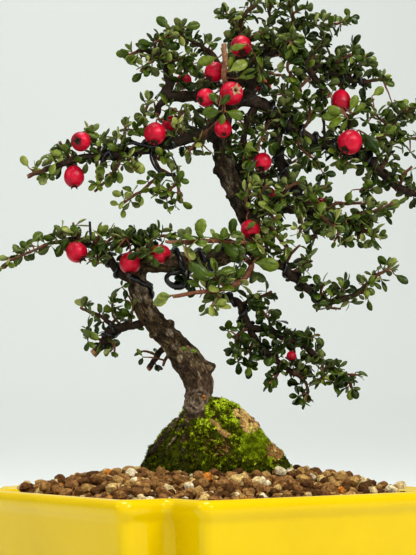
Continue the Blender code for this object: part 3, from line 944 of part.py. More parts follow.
class Leaf:
    """One blade, widest past its middle: flat beneath and raised to a point above."""

    faces = ((0, 1, 5), (1, 2, 5), (2, 3, 5), (3, 4, 5), (4, 0, 5), (4, 1, 0), (3, 2, 1), (4, 3, 1))
    blade_faces = tuple(face for face in faces if 0 not in face)

    def __init__(self, root, along, upward, size):
        length, width = LEAF_LENGTH * size, LEAF_WIDTH * size
        side = along.cross(upward).normalized()
        lift = side.cross(along)
        shape = (
            (0.00, 0.00, 0.0), (0.56, 0.48, 0.0), (0.96, 0.22, -0.4),
            (0.96, -0.22, -0.4), (0.56, -0.48, 0.0), (0.56, 0.00, 1.0),
        )
        self.corners = [
            root + along * (length * a) + side * (width * b) + lift * (LEAF_THICKNESS * c)
            for a, b, c in shape
        ]
        self.whole = BVHTree.FromPolygons(self.corners, self.faces)
        self.blade = BVHTree.FromPolygons(self.corners, self.blade_faces)

    def make(self):
        bm = bmesh.new()
        vertices = [bm.verts.new(corner) for corner in self.corners]
        for face in self.faces:
            bm.faces.new([vertices[i] for i in face])
        return object_from(bm, "leaf")


def near(tree, place, reach):
    return tree.find_nearest(place, reach)[0] is not None


def grow_leaves(routes, bare, others, own_stems, seed):
    """Leaves set round each stem by the golden angle, turned or left out where one would cross."""
    rng = random.Random(seed)
    leaves = []
    for number, route in enumerate(routes):
        start = route.length * (bare if number == 0 else 0.18)
        count = max(1, round((route.length - start) / LEAF_SPACING))
        turn = rng.uniform(0, 2 * math.pi)
        for k in range(count + 1):
            place, ahead, radius = route.at(start + (route.length - start) * k / count)
            tip = k == count
            turn += GOLDEN_TURN
            side = ahead.orthogonal().normalized()
            for attempt in range(LEAF_TRIES):
                around = Matrix.Rotation(turn + 0.63 * attempt, 3, ahead) @ side
                lean = rng.uniform(0.1, 0.5) if tip else rng.uniform(0.7, 1.25)
                along = (ahead * math.cos(lean) + around * math.sin(lean)).normalized()
                upward = (Vector((0, 0, 1)) + along.orthogonal().normalized() * rng.uniform(-0.5, 0.5))
                root = place - along * min(radius * 0.7, 0.8 * MM)
                leaf = Leaf(root, along, upward, rng.uniform(0.82, 1.12))
                middle = leaf.corners[5]
                reach = 6.5 * MM
                if max(abs(corner.x) for corner in leaf.corners) > LEAF_REACH:
                    continue
                if any(near(tree, middle, 5 * MM) and tree.overlap(leaf.whole) for tree in others):
                    continue
                if near(own_stems, middle, radius) or own_stems.overlap(leaf.blade):
                    continue
                if any((old.corners[5] - middle).length < reach and old.blade.overlap(leaf.blade)
                       for old in leaves):
                    continue
                leaves.append(leaf)
                break
    return leaves


def make_tree(bark, leaf_green, berry_red, wire_black):
    """The trunk, then wires and berries, then each branch with the leaves that fit round them."""
    trunk = finish(make_trunk("trunk"), bark)
    trunk_clear = make_trunk("trunk_clear", GAP)
    trunk_clear.hide_render = True
    trunk_clear.display_type = "WIRE"
    mound_clear = make_mound("mound_clear", GAP)

    routes = {
        name: [Route.drawn(branch["stem"])] + [Route.drawn(rows) for rows in branch["twigs"]]
        for name, branch in BRANCHES.items()
    }
    wound = {
        "trunk_foot": Route.drawn(TRUNK_FOOT).smoothed(TRUNK_STEP),
        "trunk_level": Route.drawn(TRUNK_LEVEL).smoothed(TRUNK_STEP),
        "branch_right_drop": routes["branch_right"][1],
    }
    wound.update({name: runs[0] for name, runs in routes.items()})

    obstacles = {"trunk": tree_of(trunk_clear), "mound": tree_of(mound_clear)}
    for name, row in BERRIES.items():
        berry = finish(make_berry(name, *row), berry_red)
        obstacles[name] = tree_of(berry)

    stems = {}
    for name, runs in routes.items():
        pieces = [tube("stem", run, sides_for(run)) for run in runs]
        for row in BERRIES.values():
            if row[-1] == name:
                pieces.append(tube("stalk", stalk_route(row, runs), 3))
        stem, *others = pieces
        stem.name = name
        union_all(stem, others)
        stems[name] = stem
        obstacles[name] = tree_of(stem)

    for name, (stem, start, end, turns, radius) in WIRES.items():
        coil = wire_route(wound[stem], start, end, turns, radius * MM, list(obstacles.values()))
        wire = finish(tube(name, coil, WIRE_SIDES), wire_black)
        obstacles[name] = tree_of(wire)

    leaf_count = 0
    for seed, (name, stem) in enumerate(stems.items()):
        others = [tree for other, tree in obstacles.items() if other != name]
        bare = BRANCHES[name]["bare"]
        leaves = grow_leaves(routes[name], bare, others, obstacles[name], seed)
        leaf_count += len(leaves)
        union_all(stem, [leaf.make() for leaf in leaves])
        cut_away(stem, trunk_clear)
        finish(stem, leaf_green)
        obstacles[name] = tree_of(stem)
    print(f"{leaf_count} leaves")
    bpy.data.objects.remove(mound_clear, do_unlink=True)
    return trunk_clear


def main():
    clear_scene()
    bark = make_material("bark", BARK_BROWN, 0.85)
    leaf_green = make_material("leaf", LEAF_GREEN, 0.45)
    berry_red = make_material("berry", BERRY_RED, 0.28)
    wire_black = make_material("wire", WIRE_BLACK, 0.35, 0.8)
    glaze = make_material("glaze", GLAZE_YELLOW, 0.12)
    moss = make_material("moss", MOSS_GREEN, 0.95)
    grains = make_material("grains", GRAIN_BROWN, 0.9)
    plastic = make_material("screen", SCREEN_BLACK, 0.5)

    finish(make_pot(), glaze)
    finish(make_screen("drain_screen_left", -DRAIN_SPREAD), plastic)
    finish(make_screen("drain_screen_right", DRAIN_SPREAD), plastic)

    trunk_clear = make_tree(bark, leaf_green, berry_red, wire_black)
    mound = make_mound("mound")
    cut_away(mound, trunk_clear)
    finish(mound, moss)
    soil = make_soil()
    mound_clear = make_mound("mound_clear", GAP)
    cut_away(soil, mound_clear)
    finish(soil, grains)
    bpy.data.objects.remove(mound_clear, do_unlink=True)
    bpy.data.objects.remove(trunk_clear, do_unlink=True)


main()
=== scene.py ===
# Cotoneaster bonsai in a yellow glazed pot with indented corners: the finished look.
# Metres, +Z up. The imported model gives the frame; what replaces a node is grown on the same routes.

import math
import random

import bmesh
import bpy
from mathutils import Matrix, Vector, kdtree, noise
from mathutils.bvhtree import BVHTree


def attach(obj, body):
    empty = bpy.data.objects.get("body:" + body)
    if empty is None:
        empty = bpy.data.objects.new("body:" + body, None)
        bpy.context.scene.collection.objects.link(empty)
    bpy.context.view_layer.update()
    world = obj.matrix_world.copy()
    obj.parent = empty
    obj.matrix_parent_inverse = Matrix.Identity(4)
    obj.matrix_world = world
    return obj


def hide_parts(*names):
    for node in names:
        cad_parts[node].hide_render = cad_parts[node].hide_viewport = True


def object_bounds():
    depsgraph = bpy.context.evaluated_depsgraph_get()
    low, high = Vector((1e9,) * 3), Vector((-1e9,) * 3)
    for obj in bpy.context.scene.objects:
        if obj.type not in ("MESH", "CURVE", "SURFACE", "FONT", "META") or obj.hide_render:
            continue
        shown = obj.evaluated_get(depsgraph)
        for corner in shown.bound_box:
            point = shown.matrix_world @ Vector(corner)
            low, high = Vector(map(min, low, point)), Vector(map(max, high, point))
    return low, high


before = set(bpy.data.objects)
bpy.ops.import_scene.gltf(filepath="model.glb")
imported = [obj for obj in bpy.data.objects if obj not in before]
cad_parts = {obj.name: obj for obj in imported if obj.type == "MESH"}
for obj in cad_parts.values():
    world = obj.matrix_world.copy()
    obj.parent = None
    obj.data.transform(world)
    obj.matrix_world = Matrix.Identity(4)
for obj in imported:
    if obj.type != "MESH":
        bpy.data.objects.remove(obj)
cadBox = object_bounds()
noise.seed_set(4)  # else the noise's bends would differ from run to run
mm = 0.001

# The front view that the routes are read in: millimetres across and above the soil line, and depth
frontView = {
    # the marks of the place at across 0 and up 0, and how many millimetres one mark is there
    "middle": (208, 465),
    "step": 0.4,
    "eyeDistance": 0.6,
    "eyeHeight": 0.0859,
    "pitch": math.radians(5.31),
    "turn": math.radians(-37.5),
    "trunkRight": -0.0007,
    "trunkBehind": 0.0067,
    "soilLine": -0.075,
    "lens": 97.3,
}


def turned(right, behind, up):
    return Matrix.Rotation(frontView["turn"], 3, "Z") @ Vector((right, behind, up))


def seen(across, up, depth):
    side, lift = across * mm, up * mm + frontView["soilLine"]
    pitch, distance = frontView["pitch"], frontView["eyeDistance"]
    ahead = distance * math.cos(pitch) - lift * math.sin(pitch)
    rise = distance * math.sin(pitch) + lift * math.cos(pitch)
    reach = (distance + depth * mm) / ahead
    place = turned(side * reach + frontView["trunkRight"], depth * mm + frontView["trunkBehind"], 0)
    place.z = frontView["eyeHeight"] + rise * reach
    return place


def marked(x, y, depth):
    # the place under a mark in the front view, counted in steps of 0.4 mm from its top left corner
    (middleX, middleY), step = frontView["middle"], frontView["step"]
    return seen((x - middleX) * step, (middleY - y) * step, depth)


def seenWay(across, up, depth):
    # a way across, up and away in the front view
    return turned(across, depth, up).normalized()


eye = turned(frontView["trunkRight"], frontView["trunkBehind"] - frontView["eyeDistance"], 0)
eye.z = frontView["eyeHeight"]


# Runs: smooth lines with a radius at each place, which stems, roots and wires follow


class Run:
    def __init__(self, places, radii):
        self.places = places
        self.radii = radii
        self.marks = [0.0]
        for a, b in zip(places, places[1:]):
            self.marks.append(self.marks[-1] + (b - a).length)
        self.length = self.marks[-1]

    def at(self, distance):
        distance = min(max(distance, 0.0), self.length)
        i = 0
        while i < len(self.places) - 2 and distance > self.marks[i + 1]:
            i += 1
        share = (distance - self.marks[i]) / (self.marks[i + 1] - self.marks[i])
        a, b = self.places[i], self.places[i + 1]
        radius = self.radii[i] + (self.radii[i + 1] - self.radii[i]) * share
        return a.lerp(b, share), (b - a).normalized(), radius


def smoothRun(places, radii, step, wobble=0.0, seed=0):
    # a curve through every place, with a little sideways wander like a grown twig
    smooth, girths = [], []
    last = len(places) - 1
    for i in range(last):
        a, b = places[i], places[i + 1]
        before, after = places[max(i - 1, 0)], places[min(i + 2, last)]
        count = max(1, round((b - a).length / step))
        for k in range(count):
            t = k / count
            bend = (a * 2 + (b - before) * t + (before * 2 - a * 5 + b * 4 - after) * t * t
                    + (a * 3 - before - b * 3 + after) * t ** 3) * 0.5
            if wobble and i + k > 0:
                bend += noise.noise_vector(bend * 260 + Vector((seed, 0, 0))) * wobble
            smooth.append(bend)
            girths.append(radii[i] + (radii[i + 1] - radii[i]) * t)
    return Run(smooth + [places[last]], girths + [radii[last]])


def drawnRun(rows, step=1.2 * mm, wobble=0.0, seed=0):
    places = [seen(across, up, depth) for across, up, depth, _ in rows]
    return smoothRun(places, [row[3] * mm for row in rows], step, wobble, seed)


# Making pieces


def meshOf(thing):
    # the mesh that an object shows, with its modifiers or its curve worked out
    bpy.context.view_layer.update()
    made = bpy.data.meshes.new_from_object(thing.evaluated_get(bpy.context.evaluated_depsgraph_get()))
    bpy.data.objects.remove(thing, do_unlink=True)
    return made


def holder(name, data):
    made = bpy.data.objects.new(name, data)
    bpy.context.scene.collection.objects.link(made)
    return made


def tubesMesh(runs, sidesLevel):
    curve = bpy.data.curves.new("tubes", "CURVE")
    curve.dimensions = "3D"
    curve.bevel_depth = 1.0
    curve.bevel_resolution = sidesLevel
    curve.use_fill_caps = True
    for run in runs:
        spline = curve.splines.new("POLY")
        spline.points.add(len(run.places) - 1)
        for point, place, radius in zip(spline.points, run.places, run.radii):
            point.co = (*place, 1.0)
            point.radius = radius
    return meshOf(holder("tubes", curve))


def stampCopy(bm, shape, matrix, **tones):
    # one more copy of a small shape, with its own value in each named attribute
    copy = shape.copy()
    copy.transform(matrix)
    for label, value in tones.items():
        layer = copy.attributes[label]
        layer.data.foreach_set("value", [value] * len(layer.data))
    bm.from_mesh(copy)
    bpy.data.meshes.remove(copy)


def meshFrom(bm, name):
    mesh = bpy.data.meshes.new(name)
    bm.to_mesh(mesh)
    bm.free()
    return mesh


def finishPiece(name, source, finish, nodes=(), smoothAngle=60):
    # a bmesh or a mesh becomes a piece of the object, riding on the part's one body
    mesh = meshFrom(source, name) if isinstance(source, bmesh.types.BMesh) else source
    mesh.name = name
    mesh.materials.clear()
    mesh.materials.append(finish)
    mesh.shade_smooth()
    mesh.set_sharp_from_angle(angle=math.radians(smoothAngle))
    piece = holder(name, mesh)
    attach(piece, "root")
    if nodes:
        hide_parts(*nodes)
    return piece


def addTone(mesh, *labels):
    for label in labels:
        mesh.attributes.new(label, "FLOAT", "POINT")
    return mesh


# Materials: node helpers, then one function for each finish


def newFinish(name, **sockets):
    made = bpy.data.materials.new(name)
    made.use_nodes = True
    shader = made.node_tree.nodes["Principled BSDF"]
    for label, value in sockets.items():
        shader.inputs[label].default_value = value
    return made, shader


def feed(finish, socket, value):
    # a socket takes another node's output or a fixed value
    if isinstance(value, bpy.types.NodeSocket):
        finish.node_tree.links.new(value, socket)
    elif value is not None:
        socket.default_value = (*value, 1.0) if socket.type == "RGBA" and len(value) == 3 else value


def addNode(finish, kind, settings=None, **sockets):
    made = finish.node_tree.nodes.new("ShaderNode" + kind)
    for label, value in (settings or {}).items():
        setattr(made, label, value)
    for label, value in sockets.items():
        feed(finish, made.inputs[label], value)
    return made


def objectPlace(finish, scale=(1, 1, 1)):
    # where a point lies on the object, stretched by scale
    coordinates = addNode(finish, "TexCoord")
    mapping = addNode(finish, "Mapping", Vector=coordinates.outputs["Object"], Scale=scale)
    return mapping.outputs["Vector"]


def addNoise(finish, vector, scale, detail=4.0, roughness=0.6, distortion=0.0):
    return addNode(finish, "TexNoise", Vector=vector, Scale=scale, Detail=detail,
                   Roughness=roughness, Distortion=distortion).outputs["Fac"]


def addRamp(finish, value, stops, interpolation="LINEAR"):
    ramp = addNode(finish, "ValToRGB", Fac=value)
    ramp.color_ramp.interpolation = interpolation
    elements = ramp.color_ramp.elements
    while len(elements) < len(stops):
        elements.new(0.5)
    for element, (position, colour) in zip(elements, stops):
        element.position = position
        element.color = (*colour, 1.0) if len(colour) == 3 else colour
    return ramp.outputs["Color"]


def addMix(finish, factor, first, second, blend="MIX"):
    mix = addNode(finish, "Mix", {"data_type": "RGBA", "blend_type": blend})
    for number, value in ((0, factor), (6, first), (7, second)):
        feed(finish, mix.inputs[number], value)
    return mix.outputs[2]


def addMath(finish, operation, first, second=0.5, third=None):
    made = addNode(finish, "Math", {"operation": operation})
    for socket, value in zip(made.inputs, (first, second, third)):
        feed(finish, socket, value)
    return made.outputs[0]


def readTone(finish, label):
    return addNode(finish, "Attribute", {"attribute_name": label}).outputs["Fac"]


def addBump(finish, shader, height, distance, strength=1.0):
    bump = addNode(finish, "Bump", Height=height, Distance=distance, Strength=strength)
    finish.node_tree.links.new(bump.outputs["Normal"], shader.inputs["Normal"])


def paint(finish, shader, label, value):
    finish.node_tree.links.new(value, shader.inputs[label])


def glazeFinish():
    finish, shader = newFinish("yellowGlaze", **{"Roughness": 0.06, "IOR": 1.5, "Specular IOR Level": 0.24})
    place = objectPlace(finish)
    cloud = addNoise(finish, place, 22, 3)
    glaze = addRamp(finish, cloud, ((0.3, (0.58, 0.402, 0.0)), (0.7, (0.645, 0.452, 0.0))))
    specks = addRamp(finish, addNoise(finish, place, 900, 2), ((0.74, (0, 0, 0)), (0.8, (1, 1, 1))))
    glaze = addMix(finish, specks, glaze, (0.55, 0.33, 0.01))
    height = addNode(finish, "SeparateXYZ", Vector=place).outputs["Z"]
    bare = addRamp(finish, addMath(finish, "MULTIPLY", height, 100.0), ((0.1, (1, 1, 1)), (0.16, (0, 0, 0))))
    paint(finish, shader, "Base Color", addMix(finish, bare, glaze, (0.55, 0.36, 0.2)))
    addBump(finish, shader, addNoise(finish, place, 60, 2), 0.0006, 0.12)
    return finish


def barkFinish():
    # groove holds how deep a point lies between the plates, and grain where it lies along and round the wood;
    # where groove is high the colour goes near black, partly the fissures' own dark bark and partly painted
    # shade in them
    finish, shader = newFinish("bark", **{"Roughness": 0.76, "Specular IOR Level": 0.2})
    place = objectPlace(finish)
    grain = addNode(finish, "Attribute", {"attribute_name": "grain"}).outputs["Vector"]
    coarse = addMath(finish, "MULTIPLY", addNoise(finish, place, 120, 7, 0.72, 0.8), 0.5)
    patches = addMath(finish, "MULTIPLY_ADD", addNoise(finish, grain, 1.5, 5, 0.7), 0.5, coarse)
    colour = addRamp(finish, patches, ((0.36, (0.014, 0.009, 0.005)), (0.45, (0.05, 0.032, 0.016)),
                                       (0.53, (0.11, 0.078, 0.041)), (0.62, (0.36, 0.285, 0.19))))
    height = addNode(finish, "SeparateXYZ", Vector=place).outputs["Z"]
    low = addRamp(finish, addMath(finish, "MULTIPLY", height, 8.0),
                  ((0.66, (0, 0, 0)), (0.71, (1, 1, 1)), (0.88, (0, 0, 0))))
    colour = addMix(finish, addMath(finish, "MULTIPLY", low, 0.6), colour, (0.128, 0.078, 0.058))
    colour = addMix(finish, readTone(finish, "pale"), colour, (0.42, 0.35, 0.27))
    high = addRamp(finish, addMath(finish, "MULTIPLY", height, 5.0),
                   ((0.69, (1, 1, 1)), (0.86, (0.4, 0.39, 0.38))))
    colour = addMix(finish, 1.0, colour, high, "MULTIPLY")
    fibres = addRamp(finish, addNoise(finish, grain, 4.5, 7, 0.78),
                     ((0.36, (0.28, 0.26, 0.24)), (0.5, (0.88, 0.86, 0.83)), (0.63, (2.1, 2.0, 1.85))))
    colour = addMix(finish, 1.0, colour, fibres, "MULTIPLY")
    pores = addNode(finish, "TexVoronoi", Vector=place, Scale=430.0).outputs["Distance"]
    colour = addMix(finish, addRamp(finish, pores, ((0.11, (0.6, 0.6, 0.6)), (0.18, (0, 0, 0)))), colour,
                    (0.3, 0.2, 0.11))
    # painted shade: near black in the trunk's fissures and the ring's cracks, over the darker bark there; on
    # the roots groove is random
    colour = addMix(finish, readTone(finish, "groove"), colour, (0.008, 0.005, 0.003))
    paint(finish, shader, "Base Color", colour)
    addBump(finish, shader, addNoise(finish, grain, 3.2, 7, 0.75, 0.3), 0.001, 1.0)
    return finish


def twigFinish():
    # girth runs from 0 on a thin young twig to 1 on a thick limb
    finish, shader = newFinish("twigBark", **{"Roughness": 0.75, "Specular IOR Level": 0.18})
    place = objectPlace(finish)
    girths = ((0.0, (0.33, 0.19, 0.1)), (0.12, (0.205, 0.085, 0.048)), (0.3, (0.11, 0.052, 0.028)),
              (0.55, (0.034, 0.021, 0.013)), (1.0, (0.038, 0.026, 0.017)))
    colour = addRamp(finish, readTone(finish, "girth"), girths)
    mottle = addRamp(finish, addNoise(finish, place, 620, 6, 0.8),
                     ((0.35, (0.35, 0.35, 0.35)), (0.58, (1.1, 1.1, 1.1)), (0.7, (2.4, 2.4, 2.3))))
    paint(finish, shader, "Base Color", addMix(finish, 1.0, colour, mottle, "MULTIPLY"))
    addBump(finish, shader, addNoise(finish, place, 900, 4, 0.7), 0.0006, 0.9)
    return finish


def leafFinish():
    # tone differs from leaf to leaf and carries some painted light and shade, and under is 1 on a leaf's
    # lower side
    finish, shader = newFinish("cotoneasterLeaf", **{"IOR": 1.45, "Specular IOR Level": 0.26})
    tone = readTone(finish, "tone")
    under = readTone(finish, "under")
    greens = ((0.0, (0.006, 0.014, 0.001)), (0.28, (0.016, 0.034, 0.002)), (0.52, (0.046, 0.078, 0.005)),
              (0.76, (0.12, 0.16, 0.02)), (1.0, (0.3, 0.33, 0.11)))
    upper = addRamp(finish, tone, greens)
    lower = addRamp(finish, tone, ((0.0, (0.03, 0.042, 0.012)), (0.5, (0.1, 0.125, 0.04)),
                                   (1.0, (0.33, 0.36, 0.14))))
    blade = addNode(finish, "UVMap", {"uv_map": "blade"}).outputs["UV"]
    across = addNode(finish, "SeparateXYZ", Vector=blade)
    side = addMath(finish, "ABSOLUTE", addMath(finish, "SUBTRACT", across.outputs["X"], 0.5))
    midrib = addRamp(finish, side, ((0.0, (1, 1, 1)), (0.06, (0, 0, 0))))
    margin = addRamp(finish, side, ((0.38, (0, 0, 0)), (0.5, (1, 1, 1))))
    place = objectPlace(finish)
    blotch = addRamp(finish, addNoise(finish, place, 420, 4),
                     ((0.35, (0.66, 0.7, 0.6)), (0.65, (1.3, 1.22, 1.05))))
    upper = addMix(finish, addMath(finish, "MULTIPLY", midrib, 0.32), upper, (0.18, 0.24, 0.05))
    upper = addMix(finish, addMath(finish, "MULTIPLY", margin, 0.25), upper, (0.16, 0.21, 0.05))
    lower = addMix(finish, addMath(finish, "MULTIPLY", midrib, 0.4), lower, (0.3, 0.34, 0.14))
    colour = addMix(finish, 1.0, addMix(finish, under, upper, lower), blotch, "MULTIPLY")
    paint(finish, shader, "Base Color", colour)
    paint(finish, shader, "Roughness", addMath(finish, "MULTIPLY_ADD", under, 0.35, 0.3))
    addBump(finish, shader, addNoise(finish, place, 1500, 2), 0.0002, 0.25)
    return finish


def berryFinish():
    # husk is 1 on the dried sepals and the eye between them
    finish, shader = newFinish("ripeBerry", **{
        "IOR": 1.45, "Specular IOR Level": 0.32, "Subsurface Weight": 0.08,
        "Subsurface Radius": (0.004, 0.0006, 0.0008), "Subsurface Scale": 0.3,
    })
    place = objectPlace(finish)
    reds = ((0.3, (0.19, 0.0, 0.009)), (0.46, (0.35, 0.001, 0.018)), (0.6, (0.48, 0.004, 0.03)),
            (0.74, (0.62, 0.03, 0.06)))
    skin = addRamp(finish, addNoise(finish, place, 170, 4, 0.6), reds)
    freckles = addRamp(finish, addNoise(finish, place, 1500, 2),
                       ((0.64, (0, 0, 0)), (0.72, (0.45, 0.45, 0.45))))
    skin = addMix(finish, freckles, skin, (0.72, 0.12, 0.13))
    husk = readTone(finish, "husk")
    dry = addRamp(finish, addNoise(finish, place, 900, 4),
                  ((0.35, (0.01, 0.004, 0.003)), (0.72, (0.085, 0.04, 0.022))))
    dry = addMix(finish, readTone(finish, "fade"), dry, (0.4, 0.25, 0.14))
    paint(finish, shader, "Base Color", addMix(finish, husk, skin, dry))
    paint(finish, shader, "Roughness", addMath(finish, "MULTIPLY_ADD", husk, 0.5, 0.36))
    addBump(finish, shader, addNoise(finish, place, 420, 4), 0.0005, 0.35)
    return finish


def wireFinish():
    finish, shader = newFinish("blackWire",
                               **{"Metallic": 0.35, "Roughness": 0.27, "Specular IOR Level": 0.6})
    place = objectPlace(finish)
    coat = addRamp(finish, addNoise(finish, place, 400, 4),
                   ((0.4, (0.007, 0.007, 0.008)), (0.75, (0.028, 0.029, 0.031))))
    paint(finish, shader, "Base Color", coat)
    addBump(finish, shader, addNoise(finish, place, 500, 3), 0.0002, 0.3)
    return finish


def grainFinish():
    # shade picks the kind of stone that each grain is
    finish, shader = newFinish("soilGrains", **{"Roughness": 0.9, "Specular IOR Level": 0.12})
    place = objectPlace(finish)
    kinds = ((0.0, (0.105, 0.05, 0.018)), (0.18, (0.185, 0.09, 0.032)), (0.38, (0.27, 0.14, 0.05)),
             (0.58, (0.34, 0.185, 0.066)), (0.75, (0.46, 0.28, 0.1)), (0.85, (0.62, 0.44, 0.18)),
             (0.9, (0.56, 0.22, 0.04)), (0.915, (0.7, 0.55, 0.29)), (0.965, (0.74, 0.64, 0.43)))
    colour = addRamp(finish, readTone(finish, "shade"), kinds, "CONSTANT")
    spots = addRamp(finish, addNoise(finish, place, 700, 7, 0.88),
                    ((0.36, (0.22, 0.19, 0.16)), (0.5, (1, 1, 1)), (0.64, (1.9, 1.85, 1.7))))
    paint(finish, shader, "Base Color", addMix(finish, 1.0, colour, spots, "MULTIPLY"))
    addBump(finish, shader, addNoise(finish, place, 900, 6, 0.85), 0.0009, 1.0)
    return finish


def loamFinish():
    finish, shader = newFinish("loam", **{"Roughness": 0.95, "Specular IOR Level": 0.2})
    place = objectPlace(finish)
    earth = addRamp(finish, addNoise(finish, place, 380, 6, 0.75),
                    ((0.35, (0.022, 0.013, 0.01)), (0.7, (0.11, 0.065, 0.045))))
    paint(finish, shader, "Base Color", earth)
    addBump(finish, shader, addNoise(finish, place, 300, 6, 0.8), 0.0015, 1.0)
    return finish


def mossFinish():
    # shade runs from dark olive to bright lime
    finish, shader = newFinish("moss", **{"Roughness": 0.8, "Specular IOR Level": 0.06})
    place = objectPlace(finish)
    greens = ((0.0, (0.02, 0.018, 0.003)), (0.3, (0.078, 0.082, 0.004)), (0.6, (0.22, 0.26, 0.008)),
              (0.85, (0.37, 0.5, 0.012)), (1.0, (0.6, 0.7, 0.06)))
    colour = addRamp(finish, readTone(finish, "shade"), greens)
    spots = addRamp(finish, addNoise(finish, place, 900, 5, 0.8),
                    ((0.36, (0.3, 0.3, 0.32)), (0.5, (0.95, 0.95, 0.95)), (0.64, (1.7, 1.65, 1.5))))
    paint(finish, shader, "Base Color", addMix(finish, 1.0, colour, spots, "MULTIPLY"))
    addBump(finish, shader, addNoise(finish, place, 1200, 3), 0.0005, 0.6)
    return finish


def rootballFinish():
    finish, shader = newFinish("rootball", **{"Roughness": 0.95, "Specular IOR Level": 0.06})
    place = objectPlace(finish)
    earth = addRamp(finish, addNoise(finish, place, 260, 6, 0.75),
                    ((0.32, (0.014, 0.009, 0.003)), (0.5, (0.05, 0.034, 0.01)),
                     (0.72, (0.17, 0.105, 0.045))))
    green = addRamp(finish, addNoise(finish, place, 130, 4), ((0.36, (0, 0, 0)), (0.5, (1, 1, 1))))
    turf = addRamp(finish, addNoise(finish, place, 600, 4),
                   ((0.35, (0.02, 0.022, 0.002)), (0.7, (0.1, 0.12, 0.006))))
    paint(finish, shader, "Base Color", addMix(finish, green, earth, turf))
    addBump(finish, shader, addNoise(finish, place, 500, 6, 0.8), 0.002, 1.0)
    return finish


def screenFinish():
    finish, shader = newFinish("screenPlastic", **{"Roughness": 0.5})
    place = objectPlace(finish)
    colour = addRamp(finish, addNoise(finish, place, 300, 3),
                     ((0.4, (0.016, 0.018, 0.016)), (0.7, (0.028, 0.03, 0.027))))
    paint(finish, shader, "Base Color", colour)
    return finish


finishes = {
    "glaze": glazeFinish(),
    "bark": barkFinish(),
    "twig": twigFinish(),
    "leaf": leafFinish(),
    "berry": berryFinish(),
    "wire": wireFinish(),
    "grains": grainFinish(),
    "loam": loamFinish(),
    "moss": mossFinish(),
    "rootball": rootballFinish(),
    "screen": screenFinish(),
}
print("finishes are ready")


# The pot

potShape = {
    "length": 0.154,
    "width": 0.142,
    "notch": 0.02,
    "edgeRound": 0.0052,
    "creaseRound": 0.0034,
    "arcSegments": 4,
    # inset from the rim's outline and height: under the wall, up it, over the lip and down inside
    "profile": (
        (0.0175, 0.006), (0.0138, 0.006), (0.0124, 0.0066), (0.0115, 0.008), (0.0109, 0.011), (0.007, 0.03),
        (0.0034, 0.048), (0.0029, 0.0503), (0.0016, 0.0519), (0.0002, 0.0539), (0.0002, 0.0561),
        (0.0014, 0.0577), (0.0032, 0.0582), (0.0052, 0.0577), (0.0062, 0.0563), (0.007, 0.053),
        (0.01, 0.038), (0.0148, 0.0164), (0.016, 0.0144), (0.019, 0.014),
    ),
    "footLength": 0.03,
    "footWidth": 0.024,
    "footHeight": 0.0072,
    "footInset": 0.022,
    "footRound": 0.0016,
    "drainRadius": 0.008,
    "drainSpread": 0.036,
}


def potRing(inset, height):
    # the outline with an indented corner at each end, its edges and creases rounded
    length, width = potShape["length"] / 2 - inset, potShape["width"] / 2 - inset
    notch = potShape["notch"]
    outer = max(potShape["edgeRound"] - inset * 0.25, 0.0012)
    inner = potShape["creaseRound"] + inset * 0.25
    quarter = ((length, width - notch, outer), (length - notch, width - notch, inner),
               (length - notch, width, outer))
    half = quarter + tuple((-x, y, radius) for x, y, radius in reversed(quarter))
    bm = bmesh.new()
    rounds = {}
    for x, y, radius in half + tuple((-x, -y, radius) for x, y, radius in half):
        rounds.setdefault(radius, []).append(bm.verts.new((x, y, height)))
    bm.faces.new(bm.verts[:])
    for radius, vertices in rounds.items():
        bmesh.ops.bevel(bm, geom=vertices, affect="VERTICES", offset=radius, offset_type="OFFSET",
                        segments=potShape["arcSegments"], profile=0.5, material=-1)
    places = [vertex.co.copy() for vertex in max(bm.faces, key=lambda face: len(face.verts)).verts]
    bm.free()
    start = max(range(len(places)), key=lambda k: (round(places[k].x, 6), places[k].y))
    return places[start:] + places[:start]


def makePotBody():
    bm = bmesh.new()
    face = None
    for inset, height in potShape["profile"]:
        places = potRing(inset, height)
        if face is None:
            face = bm.faces.new([bm.verts.new(place) for place in places])
        else:
            face = bmesh.ops.extrude_discrete_faces(bm, faces=[face])["faces"][0]
            for loop, place in zip(face.loops, places):
                loop.vert.co = place
    bmesh.ops.contextual_create(bm, geom=[edge for edge in bm.edges if len(edge.link_faces) == 1])
    bmesh.ops.recalc_face_normals(bm, faces=bm.faces[:])
    body = holder("potBody", meshFrom(bm, "potBody"))
    smooth = body.modifiers.new("smooth", "SUBSURF")
    smooth.levels = smooth.render_levels = 2
    return meshOf(body)


def drilled(mesh, drills):
    target = holder("target", mesh)
    group = bpy.data.collections.new("drills")
    bpy.context.scene.collection.children.link(group)
    tools = [bpy.data.objects.new("drill", drill) for drill in drills]
    for tool in tools:
        group.objects.link(tool)
    cut = target.modifiers.new("cut", "BOOLEAN")
    cut.operation, cut.operand_type, cut.collection, cut.solver = "DIFFERENCE", "COLLECTION", group, "EXACT"
    made = meshOf(target)
    for tool in tools:
        bpy.data.objects.remove(tool, do_unlink=True)
    bpy.data.collections.remove(group)
    return made


